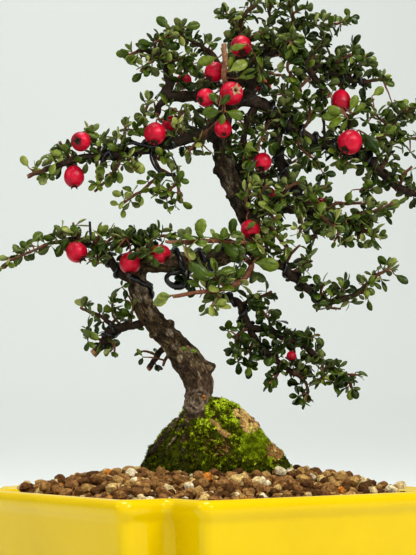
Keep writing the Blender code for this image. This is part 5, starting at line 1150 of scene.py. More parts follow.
branches = {
    "branch_low_left": {
        "bare": 0.62,
        "stem": (
            (-24, 58.4, 0, 1.7), (-28.5, 56.4, 2, 1.7), (-34, 55.2, 5, 1.7), (-38.4, 54.2, 7, 1.9),
            (-40.8, 50.4, 8, 1.9), (-43, 47.2, 9, 1.8), (-46, 44.6, 9, 1.8),
        ),
        "twigs": (
            ((-37, 55, 7, 1.3), (-42.4, 59.2, 9, 1), (-47.2, 60.8, 11, 0.8), (-51, 63, 12, 0.6)),
            ((-41.5, 50, 8, 0.8), (-45.2, 50.8, 6, 0.7), (-48.8, 52.6, 5, 0.6)),
            ((-40, 51.6, 8, 0.7), (-37.6, 48, 6, 0.6), (-37.4, 45, 5, 0.5)),
            ((-35, 55.4, 6, 0.7), (-38.2, 60.6, 3, 0.6), (-38.2, 65, 2, 0.5)),
            ((-31.5, 55.8, 4, 0.7), (-30.6, 60, 0, 0.6), (-29.8, 64, -2, 0.5)),
        ),
    },
    "branch_stub_low": {
        "bare": 0.5,
        "stem": (
            (-15.5, 48.6, 4, 1.2), (-18.8, 45.8, 8, 1.2), (-21.2, 42.2, 11, 1.2), (-23.6, 38.4, 12, 1.1),
        ),
        "twigs": (
            ((-20.2, 43.8, 10, 0.7), (-23.6, 45.2, 11, 0.6), (-26.4, 45.4, 11, 0.5)),
            ((-14.6, 45.4, 4, 0.9), (-16.8, 42.8, 5, 0.8), (-18, 39.6, 6, 0.7)),
        ),
    },
    "branch_mid_left": {
        "bare": 0.28,
        "stem": (
            (-28.5, 73, 1, 2), (-34.8, 76.8, 2, 1.9), (-40.4, 83.2, 2, 1.7), (-46.8, 87.6, 2, 1.4),
            (-52.8, 90, 1, 1.2), (-59.2, 89.4, 0, 1), (-64.8, 88, -1, 0.8), (-72, 84.8, -3, 0.7),
            (-78.8, 82, -4, 0.6), (-82.2, 78.8, -5, 0.5),
        ),
        "twigs": (
            ((-40.4, 83.2, 2, 0.9), (-44, 82.2, 8, 0.7), (-47, 81.4, 12, 0.6)),
            ((-46.8, 87.6, 2, 0.9), (-44.6, 89.6, -4, 0.7), (-43.4, 92.4, -8, 0.6)),
            ((-50.8, 89.4, 1, 0.9), (-53, 93.4, -1, 0.7), (-54, 97, -2, 0.6)),
            ((-56, 89.6, 0, 0.8), (-58, 92, 5, 0.7), (-58.4, 94.4, 9, 0.6)),
            ((-44, 85.8, 2, 0.8), (-44.4, 82.4, -3, 0.6), (-43.6, 80.6, -6, 0.5)),
        ),
    },
    "branch_elbow": {
        "bare": 0.15,
        "stem": (
            (-25.5, 82, 0, 1.3), (-27.6, 87.6, -2, 1.2), (-31.6, 90.2, -5, 1), (-36.8, 91.4, -8, 0.8),
            (-41, 88.6, -12, 0.6),
        ),
        "twigs": (
            ((-27.2, 87, -2, 1), (-23.2, 90.4, -6, 0.8), (-19, 91.6, -9, 0.7), (-15.2, 91.8, -10, 0.6)),
            ((-31.6, 90.2, -5, 0.8), (-34, 90, -14, 0.6), (-35.6, 87.4, -18, 0.5)),
            ((-27.6, 87.6, -2, 0.8), (-26.6, 87, -10, 0.7), (-24.6, 84, -17, 0.5)),
            ((-27.6, 87.6, -2, 0.8), (-30.4, 91.4, 5, 0.7), (-33, 92.6, 10, 0.5)),
            ((-22.4, 90.6, -6, 0.7), (-23.6, 86.8, -14, 0.5)),
        ),
    },
    "branch_high_left": {
        "bare": 0.16,
        "stem": (
            (4.6, 135.6, 0, 2.4), (-1, 132.8, 0, 2.4), (-8.8, 130.4, 0, 2.2), (-16.8, 128, 0, 2.1),
            (-24.8, 126.4, 0, 2), (-35.6, 124, 0, 1.8), (-49.2, 123.2, -1, 1.5), (-56.8, 121.2, -2, 1.3),
            (-65.6, 118, -4, 1.1), (-72.2, 115.4, -6, 0.9),
        ),
        "twigs": (
            ((-35.6, 124, 0, 0.9), (-34, 130.2, -3, 0.7), (-32.8, 136, -5, 0.6)),
            ((-23, 127, 0, 0.9), (-25.2, 134.4, 4, 0.8), (-25.2, 140.4, 6, 0.7), (-23.8, 145.6, 7, 0.6)),
            ((-43.2, 123.6, 0, 0.9), (-44.4, 129.6, 2, 0.7), (-47.8, 133.4, 4, 0.6)),
            ((-40, 124, 0, 0.8), (-38.6, 128, 6, 0.7), (-37.6, 131, 11, 0.6)),
            ((-55, 121.8, -2, 0.8), (-57.4, 126.4, 1, 0.7), (-59.4, 129.4, 2, 0.6)),
            ((-30, 125.4, 0, 0.8), (-32, 120.8, -4, 0.7), (-29, 118, -7, 0.6)),
            ((-34.4, 124, 0, 0.9), (-37.2, 117.6, -2, 0.8), (-41.2, 113.2, -3, 0.7), (-45.4, 109.4, -4, 0.7)),
            ((-1.6, 132.8, 0, 0.9), (-5.4, 127.8, -4, 0.7), (-8, 125, -6, 0.6)),
            ((-10, 130.8, 0, 1), (-12.4, 137, -2, 0.8), (-9.2, 142.2, -4, 0.6)),
            ((-13, 129.4, 0, 0.9), (-14, 132, 8, 0.8), (-13, 136.4, 14, 0.6)),
            ((-21, 127, 0, 1.2), (-21.6, 122.6, -1, 1.1), (-19.6, 118.8, -2, 1), (-16.6, 117, -3, 0.9),
             (-12.8, 114.8, -4, 0.8), (-11.6, 108.4, -5, 0.7)),
            ((-18, 117.8, -2, 0.9), (-25.2, 110.8, -4, 0.7), (-30.4, 107.4, -5, 0.7),
             (-35.4, 103.2, -6, 0.6)),
            ((-12, 113, -4, 0.7), (-16.4, 109.6, -6, 0.6), (-19.6, 108.6, -7, 0.5)),
            ((-60, 120.2, -3, 0.7), (-62, 122.4, 2, 0.5)),
        ),
    },
    "branch_upper_left": {
        "bare": 0.45,
        "stem": (
            (6.6, 144.4, 1, 2.4), (0, 147.2, 4, 2.4), (-9.2, 147.4, 4, 2.4), (-16.4, 147.8, 4, 2.3),
            (-15.2, 153.4, 3, 2), (-18, 161.2, 2, 1.7), (-21.4, 164.4, 1, 1.4), (-26.2, 166.2, 0, 1),
            (-31.6, 163.8, -1, 0.7),
        ),
        "twigs": (
            ((-15.4, 147.4, 4, 1.7), (-19.4, 144, 4, 1.5), (-20.6, 139.8, 3, 1.2)),
            ((-21.4, 164.4, 1, 0.9), (-20.4, 169.6, -1, 0.7), (-15, 171.8, -3, 0.6)),
            ((-17.4, 160.2, 2, 0.9), (-12, 162.2, 0, 0.7), (-6.8, 163.2, -2, 0.6)),
            ((-15.2, 152, 3, 0.9), (-10.4, 155.2, 2, 0.7), (-8.8, 159.2, 1, 0.6)),
            ((-20, 163.4, 1, 0.9), (-24, 160.6, -5, 0.7), (-27, 157.4, -8, 0.6)),
            ((-18, 161.2, 2, 0.9), (-17.6, 164.4, 9, 0.7), (-20, 166, 15, 0.6)),
            ((-7.2, 147.4, 4, 0.9), (-3.6, 150.6, 10, 0.7), (-1.6, 154.4, 15, 0.6)),
        ),
    },
    "crown_left": {
        "bare": 0.3,
        "stem": (
            (11.6, 146, -1, 1.9), (12.6, 151.6, -2, 1.7), (13.8, 157.4, -2, 1.4), (14, 163.6, -2, 1.3),
            (12.8, 173.4, -2, 1.1), (14, 179.2, -2, 1), (19.6, 185, -3, 0.9),
        ),
        "twigs": (
            ((12.8, 152.4, -2, 1.1), (6, 158.8, 2, 1.1), (0, 165.8, 2, 1.1), (-7.2, 170, 1, 0.9),
             (-14.8, 173.8, 0, 0.8)),
            ((12.4, 151, -2, 1.15), (6.8, 153.8, -9, 1.15), (6.6, 161, -14, 1.15), (6.4, 168.4, -15, 1.1)),
            ((12.8, 173.4, -2, 0.8), (9, 178.4, -5, 0.6), (7.2, 181, -7, 0.5)),
            ((13.8, 160, -2, 0.9), (19.2, 162.4, -9, 0.7), (20.4, 156.4, -14, 0.6)),
            ((13.4, 168, -2, 0.8), (17.6, 171.4, -7, 0.7), (22, 173, -10, 0.6)),
            ((13.4, 168, -2, 0.8), (11.6, 171.4, 6, 0.7), (9, 174.6, 12, 0.6)),
        ),
    },
    "crown_right": {
        "bare": 0.2,
        "stem": (
            (13.6, 146, 2, 2), (17, 151.8, 4, 1.9), (19.6, 158, 4, 1.8), (24, 163.8, 3, 1.8),
            (28.8, 166.8, 2, 1.7), (33.2, 165.6, 1, 1.7), (37.4, 163.4, 0, 1.7), (41, 160.2, 0, 1.7),
            (47.8, 157.2, 0, 1.7), (55.6, 154.8, 0, 1.5), (62.4, 153.4, 0, 1.1), (70, 155, -1, 0.6),
        ),
        "twigs": (
            ((29, 166.8, 2, 1.5), (32.8, 172.4, 2, 1.3), (34, 178.6, 1, 1), (32.4, 185.6, 0, 0.9)),
            ((33.4, 175.2, 2, 0.9), (40, 176, 0, 0.8), (46, 175.8, -2, 0.7), (53.6, 177.2, -4, 0.6)),
            ((24, 163.8, 3, 1), (22.8, 171.2, 2, 0.8), (24.8, 178.2, 1, 0.7), (24, 183, 0, 0.6)),
            ((37.4, 163, 0, 1.5), (40.8, 157.2, -2, 1.5), (45, 152.2, -3, 1.4), (48.8, 147.6, -3, 1.2)),
            ((48.8, 157, 0, 0.8), (52.8, 162, -3, 0.7), (58.4, 164.4, -5, 0.6)),
            ((40.4, 161, 0, 0.8), (44.4, 167.4, 3, 0.7), (46.8, 170, 5, 0.6)),
            ((33.2, 166, 1, 0.9), (32.4, 169.4, -8, 0.7), (33.6, 168, -14, 0.6)),
            ((33.2, 165.6, 1, 0.8), (32, 159.4, -6, 0.7), (33.6, 154.8, -10, 0.6)),
            ((24, 163.8, 3, 0.9), (26, 167.4, 12, 0.7), (27.6, 171.4, 20, 0.6)),
            ((47.8, 157.2, 0, 0.8), (50.4, 160.4, 8, 0.7), (54, 163.6, 13, 0.6)),
            ((41.6, 156.2, -2, 0.8), (36.8, 150.8, -4, 0.7), (34.4, 147.2, -5, 0.6)),
            ((56, 154.8, 0, 0.8), (58.8, 158.8, 3, 0.7), (61.6, 161, 5, 0.6)),
        ),
    },
    "crown_back": {
        "bare": 0.3,
        "stem": (
            (8.6, 143, 2, 1.7), (8, 149.6, 13, 1.5), (13.6, 156.4, 23, 1.3), (19, 162, 31, 1),
            (23.6, 168.6, 38, 0.6),
        ),
        "twigs": (
            ((8.4, 150.4, 14, 0.9), (1.6, 154.4, 23, 0.7), (-4.2, 157.2, 31, 0.6)),
            ((13.6, 156.4, 23, 0.9), (11, 161.2, 34, 0.7), (7.6, 164, 43, 0.6)),
            ((16, 159, 27, 0.9), (23.4, 157, 35, 0.7), (31, 155.2, 41, 0.6)),
            ((19, 162, 31, 0.8), (27.4, 163.8, 35, 0.7), (36, 162.4, 38, 0.6)),
            ((9.8, 152, 16, 0.9), (17, 152.4, 18, 0.7), (24.4, 150.6, 24, 0.6)),
        ),
    },
    "branch_right": {
        "bare": 0.1,
        "stem": (
            (16.4, 145.8, -1, 2.9), (20.4, 144.6, -1, 2.9), (24.8, 142, -1, 2.7), (29.2, 138.4, 0, 2.5),
            (37.2, 132.4, 0, 2.3), (45.2, 128.8, 0, 2.3), (53.2, 126.4, 0, 2.3), (60.8, 124.4, 0, 2.2),
            (68.8, 117.6, 0, 1.9), (76.8, 110.8, -1, 1.6), (83.2, 108.4, -1, 1.4), (86.8, 107.4, -2, 1),
        ),
        "twigs": (
            ((28.6, 138.6, 0, 2), (28.4, 133.6, 1, 1.9), (27.4, 128, 2, 2), (28.2, 123.6, 3, 2),
             (31.2, 115, 5, 2), (35.6, 108.6, 7, 2), (40, 100.4, 8, 2.2), (44.4, 93, 8, 1.8)),
            ((29.6, 138.6, 0, 0.9), (31.6, 143.6, 3, 0.8), (30.2, 149.4, 4, 0.6)),
            ((37.2, 132.8, 0, 0.9), (40.4, 138.6, -2, 0.8), (40.6, 145, -3, 0.6)),
            ((52.8, 127, 0, 1), (55.6, 134, 5, 0.9), (58.4, 140.6, 6, 0.8), (63.2, 144.4, 6, 0.6)),
            ((47, 128.6, 0, 0.9), (46.6, 134, 4, 0.7), (45.8, 139, 6, 0.6)),
            ((62, 123.8, 0, 1), (66, 129.6, -3, 0.8), (71.6, 132.8, -5, 0.6)),
            ((69, 117.6, 0, 1.1), (73, 127, 3, 1), (74, 136, 3, 0.9), (78.4, 141.2, 2, 0.7),
             (84.2, 144.2, 1, 0.6)),
            ((73.2, 128.4, 3, 0.8), (78.8, 130, 0, 0.7), (84, 130.8, -2, 0.6)),
            ((73.8, 134, 3, 0.7), (69.4, 138, 0, 0.6), (67, 140, -2, 0.5)),
            ((76.4, 111.2, -1, 0.8), (78.4, 116.4, -3, 0.7), (81.6, 119.4, -4, 0.6)),
            ((67.6, 118.4, 0, 0.9), (66, 113.8, -1, 0.8), (63.6, 109.6, -2, 0.6)),
            ((52, 126.6, 0, 0.8), (53.6, 122.4, -4, 0.6), (56.4, 121, -6, 0.5)),
            ((35.4, 133.6, 0, 0.9), (36.4, 127.6, -3, 0.7), (42.4, 122.4, -5, 0.6)),
            ((34, 134.8, 0, 0.9), (35, 137.4, 9, 0.7), (36, 139.4, 16, 0.6)),
            ((58, 125.4, 0, 0.9), (60.4, 128.4, 9, 0.7), (63, 130.4, 15, 0.6)),
            ((37, 106, 7, 0.9), (38.8, 108.6, 16, 0.8), (42.4, 109.8, 23, 0.6)),
            ((40, 100.4, 8, 0.9), (45.2, 100, 15, 0.7), (51.4, 98.8, 20, 0.6)),
            ((43, 95.4, 8, 0.8), (42.4, 91.8, 3, 0.6), (39.6, 90.4, 0, 0.5)),
            ((20.4, 144.6, -1, 1.6), (16.2, 138.8, -1, 1.5), (14.6, 131.8, -2, 1.4), (15.6, 124.4, -3, 1),
             (18.4, 117.6, -5, 0.7)),
            ((24.8, 142, -1, 0.9), (23.4, 135, -3, 0.8), (20.2, 128.4, -4, 0.6)),
            ((15.2, 134.4, -2, 0.8), (19.4, 137.4, 3, 0.7), (22.6, 139.4, 6, 0.6)),
        ),
    },
    "branch_mid_right": {
        "bare": 0.08,
        "stem": (
            (14, 98.6, -1, 1.8), (20.4, 100.2, -3, 1.8), (28.8, 103.2, -4, 1.7), (36.8, 101.2, -5, 1.5),
            (44, 99.6, -5, 1.3), (52.8, 97.2, -5, 1.2), (60.8, 94.6, -5, 1.1), (68.4, 91.6, -5, 1),
        ),
        "twigs": (
            ((21.6, 100.8, -3, 0.9), (20.8, 107.4, -6, 0.8), (23.6, 112.4, -8, 0.6)),
            ((28.8, 103.2, -4, 0.9), (31, 110, -8, 0.8), (36.4, 113.2, -10, 0.6)),
            ((36.8, 101.2, -5, 0.9), (42, 107.4, -7, 0.8), (47.2, 111.6, -8, 0.6)),
            ((44, 99.6, -5, 0.9), (50.8, 104.4, -6, 0.8), (56.8, 104.6, -7, 0.7), (63.2, 104.8, -8, 0.6)),
            ((52.8, 97.2, -5, 0.8), (61.6, 100.4, -7, 0.7), (69.6, 102.4, -9, 0.7), (73.8, 105, -10, 0.6)),
            ((21, 100, -3, 0.9), (25.4, 94.4, -8, 0.8), (28.8, 90, -11, 0.7), (31.4, 86.6, -12, 0.6)),
            ((26, 102, -4, 0.8), (24.6, 100.4, -13, 0.7), (27.4, 98.4, -19, 0.6)),
            ((36, 101.4, -5, 0.8), (37.4, 97, -11, 0.7), (36.2, 92.4, -14, 0.6)),
            ((44, 99.6, -5, 0.8), (46.8, 98.4, -14, 0.7), (51, 95.4, -18, 0.6)),
            ((52, 97.4, -5, 0.8), (52, 92.4, -8, 0.6), (50.4, 89.6, -10, 0.5)),
            ((60, 95, -5, 0.7), (61.4, 97.6, 2, 0.6), (65, 99, 6, 0.5)),
            ((16.8, 99.2, -3, 0.9), (15.2, 106, -7, 0.8), (16.8, 113.4, -8, 0.6)),
            ((20.2, 100, -3, 0.9), (20.8, 94, -7, 0.8), (22.8, 88.4, -9, 0.7), (25.2, 84.6, -9, 0.6)),
        ),
    },
    "branch_low_right": {
        "bare": 0.42,
        "stem": (
            (15.4, 86.2, -1, 1.6), (22, 80.8, -3, 1.6), (29.2, 79.8, -4, 1.8), (33.2, 76, -4, 1.8),
            (39.2, 71.2, -5, 1.8), (45.2, 66.8, -5, 1.6), (50.8, 65.6, -5, 1.3), (58, 68, -6, 1.1),
            (63.2, 71.6, -6, 1), (67.2, 75.6, -7, 0.8), (72.8, 78.4, -8, 0.6),
        ),
        "twigs": (
            ((30.4, 79.2, -4, 0.8), (33.4, 84.6, -8, 0.7), (37, 87.8, -10, 0.6)),
            ((33.2, 76.6, -4, 0.8), (37.8, 79.8, 1, 0.7), (41.6, 81.6, 4, 0.6)),
            ((45.2, 67, -5, 0.8), (46, 71.2, -8, 0.7), (48.8, 73.8, -10, 0.6)),
            ((50.8, 65.8, -5, 0.8), (53.6, 69.2, 0, 0.7), (54.4, 72.8, 4, 0.6)),
            ((48, 66.2, -5, 0.7), (49, 63, 0, 0.6), (53, 62.6, 3, 0.5)),
        ),
    },
    "branch_drop": {
        "bare": 0.5,
        "stem": (
            (-1.2, 79.6, 2, 1.6), (0, 72.6, 6, 1.5), (4, 67.8, 7, 1.4), (8.2, 67, 7, 1.4),
            (12.4, 64.8, 7, 1.6), (15, 58.8, 8, 1.9), (16.8, 54.8, 8, 1.7), (24.4, 54.2, 8, 1.5),
            (30.4, 50.8, 8, 1.3), (39.2, 47.2, 7, 1.2), (42.8, 43.6, 7, 1.1), (48.4, 40.2, 6, 1),
            (55.2, 34.4, 5, 0.8), (57.8, 30.6, 5, 0.7),
        ),
        "twigs": (
            ((16.6, 54.4, 8, 1.5), (21, 46.8, 7, 1.4), (26.4, 42.8, 6, 1.3), (36.4, 35.4, 5, 1),
             (39.6, 32, 4, 0.8), (39.8, 28.2, 4, 0.6)),
            ((29.2, 40.8, 6, 0.9), (27.6, 36.4, 3, 0.7), (24.6, 32.6, 1, 0.6)),
            ((16.2, 54.8, 8, 0.9), (11.6, 51.6, 5, 0.8), (11.4, 45.6, 3, 0.6)),
            ((18.6, 50.6, 8, 0.9), (17, 46, 10, 0.7), (17.4, 42, 12, 0.6)),
            ((13, 64, 7, 0.9), (21, 67.2, 9, 0.8), (25.4, 69.4, 11, 0.6)),
            ((18.6, 66.4, 8, 0.8), (22, 61.6, 6, 0.7), (24.4, 58.8, 4, 0.6)),
            ((38.4, 47.6, 7, 0.8), (41.4, 51.2, 5, 0.6), (44.8, 52, 4, 0.5)),
            ((30.4, 50.8, 8, 0.8), (33.4, 50.4, 15, 0.7), (37.8, 48.6, 19, 0.6)),
            ((30.2, 40, 6, 0.8), (34.6, 40.6, 13, 0.7), (39.6, 39.4, 18, 0.6)),
            ((46, 41.6, 6, 0.7), (45.8, 36.4, 3, 0.6), (44.6, 33, 1, 0.5)),
            ((50.8, 38.2, 6, 0.7), (56, 36.4, 3, 0.6), (60, 36, 1, 0.5)),
        ),
    },
    "shoot_front_upper": {
        "bare": 0.2,
        "stem": (
            (16.2, 89.6, -1, 1), (20.8, 89, -8, 1), (12.8, 88.8, -16, 1), (0.8, 89.6, -23, 1),
            (-9.2, 89.2, -28, 0.9), (-17, 89.4, -31, 0.7),
        ),
        "twigs": (),
    },
    "shoot_front_lower": {
        "bare": 0.2,
        "stem": (
            (11.4, 85, -1, 1.2), (17.2, 80.4, -9, 1.2), (15.2, 75.6, -14, 1.2), (7.6, 70.8, -20, 1.1),
            (-2.4, 69.2, -26, 1), (-14, 67.4, -31, 0.9),
        ),
        "twigs": (
            ((7.6, 71, -20, 0.8), (2.4, 75.2, -25, 0.6), (-1.6, 77.8, -28, 0.5)),
            ((4, 70.2, -22, 0.7), (3.2, 66, -24, 0.6), (1.2, 62.8, -26, 0.5)),
        ),
    },
    "branch_back_middle": {
        "bare": 0.3,
        "stem": (
            (6.2, 118, 2, 1.7), (10.6, 119.4, 14, 1.5), (17.2, 116.4, 25, 1.3), (24, 113.8, 35, 1),
            (30.6, 108.6, 43, 0.6),
        ),
        "twigs": (
            ((12.4, 118.8, 17, 0.9), (13.6, 123.6, 27, 0.7), (16.4, 127.2, 36, 0.6)),
            ((17.2, 116.4, 25, 0.9), (15.6, 112.4, 36, 0.7), (17, 108.8, 45, 0.6)),
            ((21, 115, 30, 0.8), (28.8, 118.6, 34, 0.7), (35.4, 122, 36, 0.6)),
            ((13, 118.4, 18, 0.8), (19.8, 108, 20, 0.7), (25.6, 102.8, 24, 0.6)),
        ),
    },
    "branch_back_left": {
        "bare": 0.3,
        "stem": ((5.4, 128, 2, 1.6), (-1, 131.8, 15, 1.4), (-8.2, 135.4, 26, 1.1), (-14.4, 139.4, 36, 0.6)),
        "twigs": (
            ((-2.4, 132.6, 17, 0.9), (0.4, 137.4, 27, 0.7), (-1.6, 141.8, 36, 0.6)),
            ((-8.2, 135.4, 26, 0.8), (-14.6, 133.4, 31, 0.7), (-22, 131.6, 34, 0.6)),
        ),
    },
    "sprig_trunk": {
        "bare": 0.3,
        "stem": ((-9, 47.4, -4.4, 0.6), (-8.8, 47.6, -7.6, 0.6), (-8, 47.4, -9.2, 0.5)),
        "twigs": (),
    },
}
berries = {
    "berry_high_left_outer": (-50.8, 129.4, -4, 8, (-0.28, -0.12, -0.95), "branch_high_left"),
    "berry_high_left_hanging": (-53.6, 115.4, -2, 8.2, (0.05, -1, -0.2), "branch_high_left"),
    "berry_high_left_front": (-21.2, 132.6, -5.6, 8.8, (-0.1, -0.9, -0.4), "branch_high_left"),
    "berry_high_left_rear": (-15, 136.4, 3.2, 6.6, (0.9, 0.1, -0.3), "branch_high_left"),
    "berry_crown_left": (13.2, 167.6, -9, 8.5, (0.1, -0.8, -0.6), "crown_left"),
    "berry_crown_front": (9.2, 148.6, -12, 9.4, (0.44, 0.14, -0.88), "crown_left"),
    "berry_crown_side": (-0.8, 147, -7.6, 7.4, (-0.6, -0.4, -0.6), "crown_left"),
    "berry_crown_dark": (2.6, 157.2, -6.4, 8, (-0.5, -0.7, -0.3), "crown_left"),
    "berry_upper_left": (-9.6, 153.6, 12, 6.4, (-0.3, -0.8, 0.4), "branch_upper_left"),
    "berry_trunk_front": (6, 134.8, -9.4, 7, (0.1, -0.8, -0.6), "branch_high_left"),
    "berry_right_upper": (53.2, 145.4, -2, 8.2, (0, -0.95, -0.3), "crown_right"),
    "berry_right_large": (56.8, 129.2, -9, 9.7, (-0.5, -0.75, -0.45), "branch_right"),
    "berry_right_inner": (21.8, 121.2, -4, 7.4, (-0.2, -0.8, -0.5), "branch_right"),
    "berry_elbow_left": (-31.2, 80.8, -11.5, 8.4, (0, -1, -0.2), "branch_elbow"),
    "berry_elbow_right": (-18.8, 84.4, -13, 7.4, (0.7, -0.6, -0.4), "branch_elbow"),
    "berry_mid_right": (16.8, 94.2, -10.4, 7.6, (0.2, -0.8, -0.5), "branch_mid_right"),
    "berry_mid_left": (-52.6, 85.2, -5, 8.4, (0.6, -0.7, -0.3), "branch_mid_left"),
    "berry_drop_small": (33.4, 43.6, 4, 4, (0.2, -0.9, -0.3), "branch_drop"),
    "berry_back_crown": (21.6, 152.4, 37, 8, (0.1, -0.8, 0.6), "crown_back"),
    "berry_back_middle": (24, 107.6, 42, 7.6, (0, -0.9, 0.4), "branch_back_middle"),
    "berry_back_right": (45.4, 103.2, 24, 7.8, (0.2, -0.9, 0.4), "branch_right"),
}
# how some branches differ: leaf size, how dense, how much paler their leaves and whether their bark is young
branchLook = {
    "shoot_front_upper": {"leaf": 1.35, "dense": 0.6, "paler": 0.16, "young": True},
    "shoot_front_lower": {"leaf": 1.35, "dense": 0.6, "paler": 0.16, "young": True},
    "branch_high_left": {"dense": 0.8, "paler": 0.14},
    "branch_mid_left": {"dense": 0.8, "paler": 0.12},
    "branch_upper_left": {"dense": 0.92, "paler": 0.08},
    "branch_low_left": {"dense": 0.8, "leaf": 0.92},
    "branch_stub_low": {"dense": 0.6, "leaf": 0.8},
    "branch_mid_right": {"dense": 1.15, "paler": 0.08},
    "branch_right": {"dense": 1.28, "paler": -0.01},
    "crown_left": {"dense": 1.25, "paler": -0.05},
    "crown_right": {"dense": 1.34, "paler": -0.06},
    "branch_drop": {"dense": 1.2, "paler": -0.07},
}
# how young some pruned twigs look: 0 pale, 1 dark
youngTwigs = {("crown_left", 2): 0.12}
# twigs whose tip was cut or ends in a bud: the share of each that stays without leaves at its end
cutTips = {
    ("branch_high_left", 0): 0.04, ("branch_high_left", 7): 0.1, ("branch_high_left", 12): 0.1,
    ("branch_low_left", 0): 0.12, ("branch_stub_low", 0): 0.1, ("branch_stub_low", 2): 1.0,
    ("sprig_trunk", 0): 1.0, ("crown_left", 2): 1.0, ("shoot_front_lower", 0): 0.24,
    ("shoot_front_upper", 0): 0.14,
}
twigLook = {
    "wander": 0.5 * mm,
    "thin": 0.84,
    "limb": 1.1 * mm,
    "spurRadius": 0.24 * mm,
    "girthOfLimb": 2.2 * mm,
}
# pruned or leafless twigs: the share of each that stays bare
bareTwigs = {
    ("crown_left", 1): 0.45, ("branch_upper_left", 1): 0.45, ("crown_right", 4): 0.3,
    ("branch_right", 1): 0.9, ("branch_high_left", 11): 0.6,
}
leafLook = {
    "length": 4.8 * mm,
    "spurSpacing": 2.0 * mm,
    "spurLength": (0.2 * mm, 1.2 * mm),
    "rosette": (2, 3, 3, 4, 4, 5),
    "tipRosette": (3, 4, 4, 5),
    "goldenTurn": math.radians(137.5),
    "edge": 1.5 * mm,
}
# the blade's outline as shares of its length and of its width, and the kinds of leaf: how wide
# each is for its length, how far its halves fold up and how far it bows
leafOutline = ((0.0, 0.07), (0.19, 0.22), (0.43, 0.84), (0.7, 1.0), (0.91, 0.66), (1.0, 0.16))
leafKinds = (
    {"width": 0.56, "fold": 0.2, "bow": 0.12},
    {"width": 0.62, "fold": 0.12, "bow": 0.2},
    {"width": 0.48, "fold": 0.28, "bow": 0.08},
    {"width": 0.66, "fold": 0.06, "bow": 0.24},
    {"width": 0.54, "fold": 0.34, "bow": -0.08},
    {"width": 0.58, "fold": 0.16, "bow": 0.32},
    {"width": 0.38, "fold": 0.3, "bow": 0.1},
)


def makeLeafShape(kind):
    # one leaf of length one along Y with its stalk at the origin and its upper side up
    bm = bmesh.new()
    blade = bm.loops.layers.uv.new("blade")
    bmesh.ops.create_grid(bm, x_segments=2, y_segments=5, size=0.5)
    for face in bm.faces:
        for loop in face.loops:
            loop[blade].uv = (loop.vert.co.x + 0.5, loop.vert.co.y + 0.5)
    for vertex in bm.verts:
        reach, share = leafOutline[round((vertex.co.y + 0.5) * 5)]
        side = vertex.co.x * share * kind["width"]
        vertex.co = Vector((side, reach, kind["fold"] * abs(side) - kind["bow"] * reach * reach))
    if sum((face.normal.z for face in bm.faces)) < 0:
        bmesh.ops.reverse_faces(bm, faces=bm.faces[:])
    bmesh.ops.solidify(bm, geom=bm.faces[:], thickness=0.035)
    under = bm.faces.layers.float.new("under")
    bm.normal_update()
    for face in bm.faces:
        face[under] = 1.0 if face.normal.z < 0.05 else 0.0
    mesh = meshFrom(bm, "leaf")
    mesh.shade_smooth()
    return addTone(mesh, "tone")


leafShapes = [makeLeafShape(kind) for kind in leafKinds]
berryLook = {
    "sides": 40,
    "rings": 28,
    "tall": 1.05,
    "sepals": 5,
    # how much longer than round some berries are, and those whose dried sepals are pale
    "long": {"berry_right_upper": 1.18, "berry_trunk_front": 1.2, "berry_high_left_hanging": 1.08},
    "paleEyes": ("berry_crown_front",),
    # how much of each berry leaves may cover in the front view
    "cover": {
        "berry_high_left_rear": 0.9, "berry_upper_left": 0.9, "berry_crown_dark": 0.4,
        "berry_crown_side": 0.25, "berry_trunk_front": 0.3, "berry_right_inner": 0.4,
        "berry_elbow_right": 0.3, "berry_drop_small": 0.3, "berry_back_crown": 1.0,
        "berry_back_middle": 1.0, "berry_back_right": 1.0,
    },
}
berrySpots = [(seen(*row[:3]), row[3] * mm / 2, berryLook["cover"].get(name, 0.12))
              for name, row in berries.items()]



def hidesBerry(place, reach, rng):
    # whether a leaf would stand in a berry, or right before one that the front view shows clear
    for middle, radius, cover in berrySpots:
        if (place - middle).length < radius + reach:
            return True
        sight = (eye - middle).normalized()
        ahead = (place - middle).dot(sight)
        aside = (place - middle - sight * ahead).length
        if 0 < ahead < 30 * mm and aside < radius * 0.8 + reach and rng.random() > cover:
            return True
    return False


# where the front view shows clear sky between leaves: the marks of the middle, half width and half height
leafGaps = (
    (70, 215, 14, 8), (124, 223, 10, 9), (94, 267, 14, 7), (8, 275, 10, 8), (8, 250, 8, 6), (79, 313, 6, 9),
    (147, 345, 14, 7), (163, 362, 5, 7), (56, 136, 7, 6), (131, 177, 8, 7), (147, 197, 6, 7),
    (289, 220, 6, 5), (322, 242, 10, 6), (318, 262, 9, 9), (298, 243, 7, 7), (304, 303, 10, 6),
    (336, 313, 15, 8), (275, 290, 13, 6), (290, 326, 7, 5), (323, 330, 9, 9), (337, 354, 13, 7),
    (353, 368, 11, 6), (212, 321, 13, 9), (333, 275, 9, 5), (389, 196, 11, 8), (342, 194, 18, 8),
    (286, 377, 8, 4), (226, 26, 6, 8), (137, 79, 9, 6), (258, 25, 6, 6), (264, 13, 6, 5),
    (313, 127, 15, 10), (380, 90, 8, 6), (410, 168, 8, 8), (275, 57, 6, 11), (288, 69, 6, 8),
    (313, 76, 8, 6), (316, 200, 9, 5),
)


def inGap(place):
    across, up = viewOf(place)
    (middleX, middleY), step = frontView["middle"], frontView["step"]
    x, y = middleX + across / step, middleY - up / step
    return any(((x - middle) / wide) ** 2 + ((y - level) / tall) ** 2 < 1
               for middle, level, wide, tall in leafGaps)



def leafMatrix(root, along, upward, size):
    side = along.cross(upward).normalized()
    lift = side.cross(along)
    turn = Matrix((side, along, lift)).transposed().to_4x4()
    return Matrix.Translation(root) @ turn @ Matrix.Scale(size, 4)


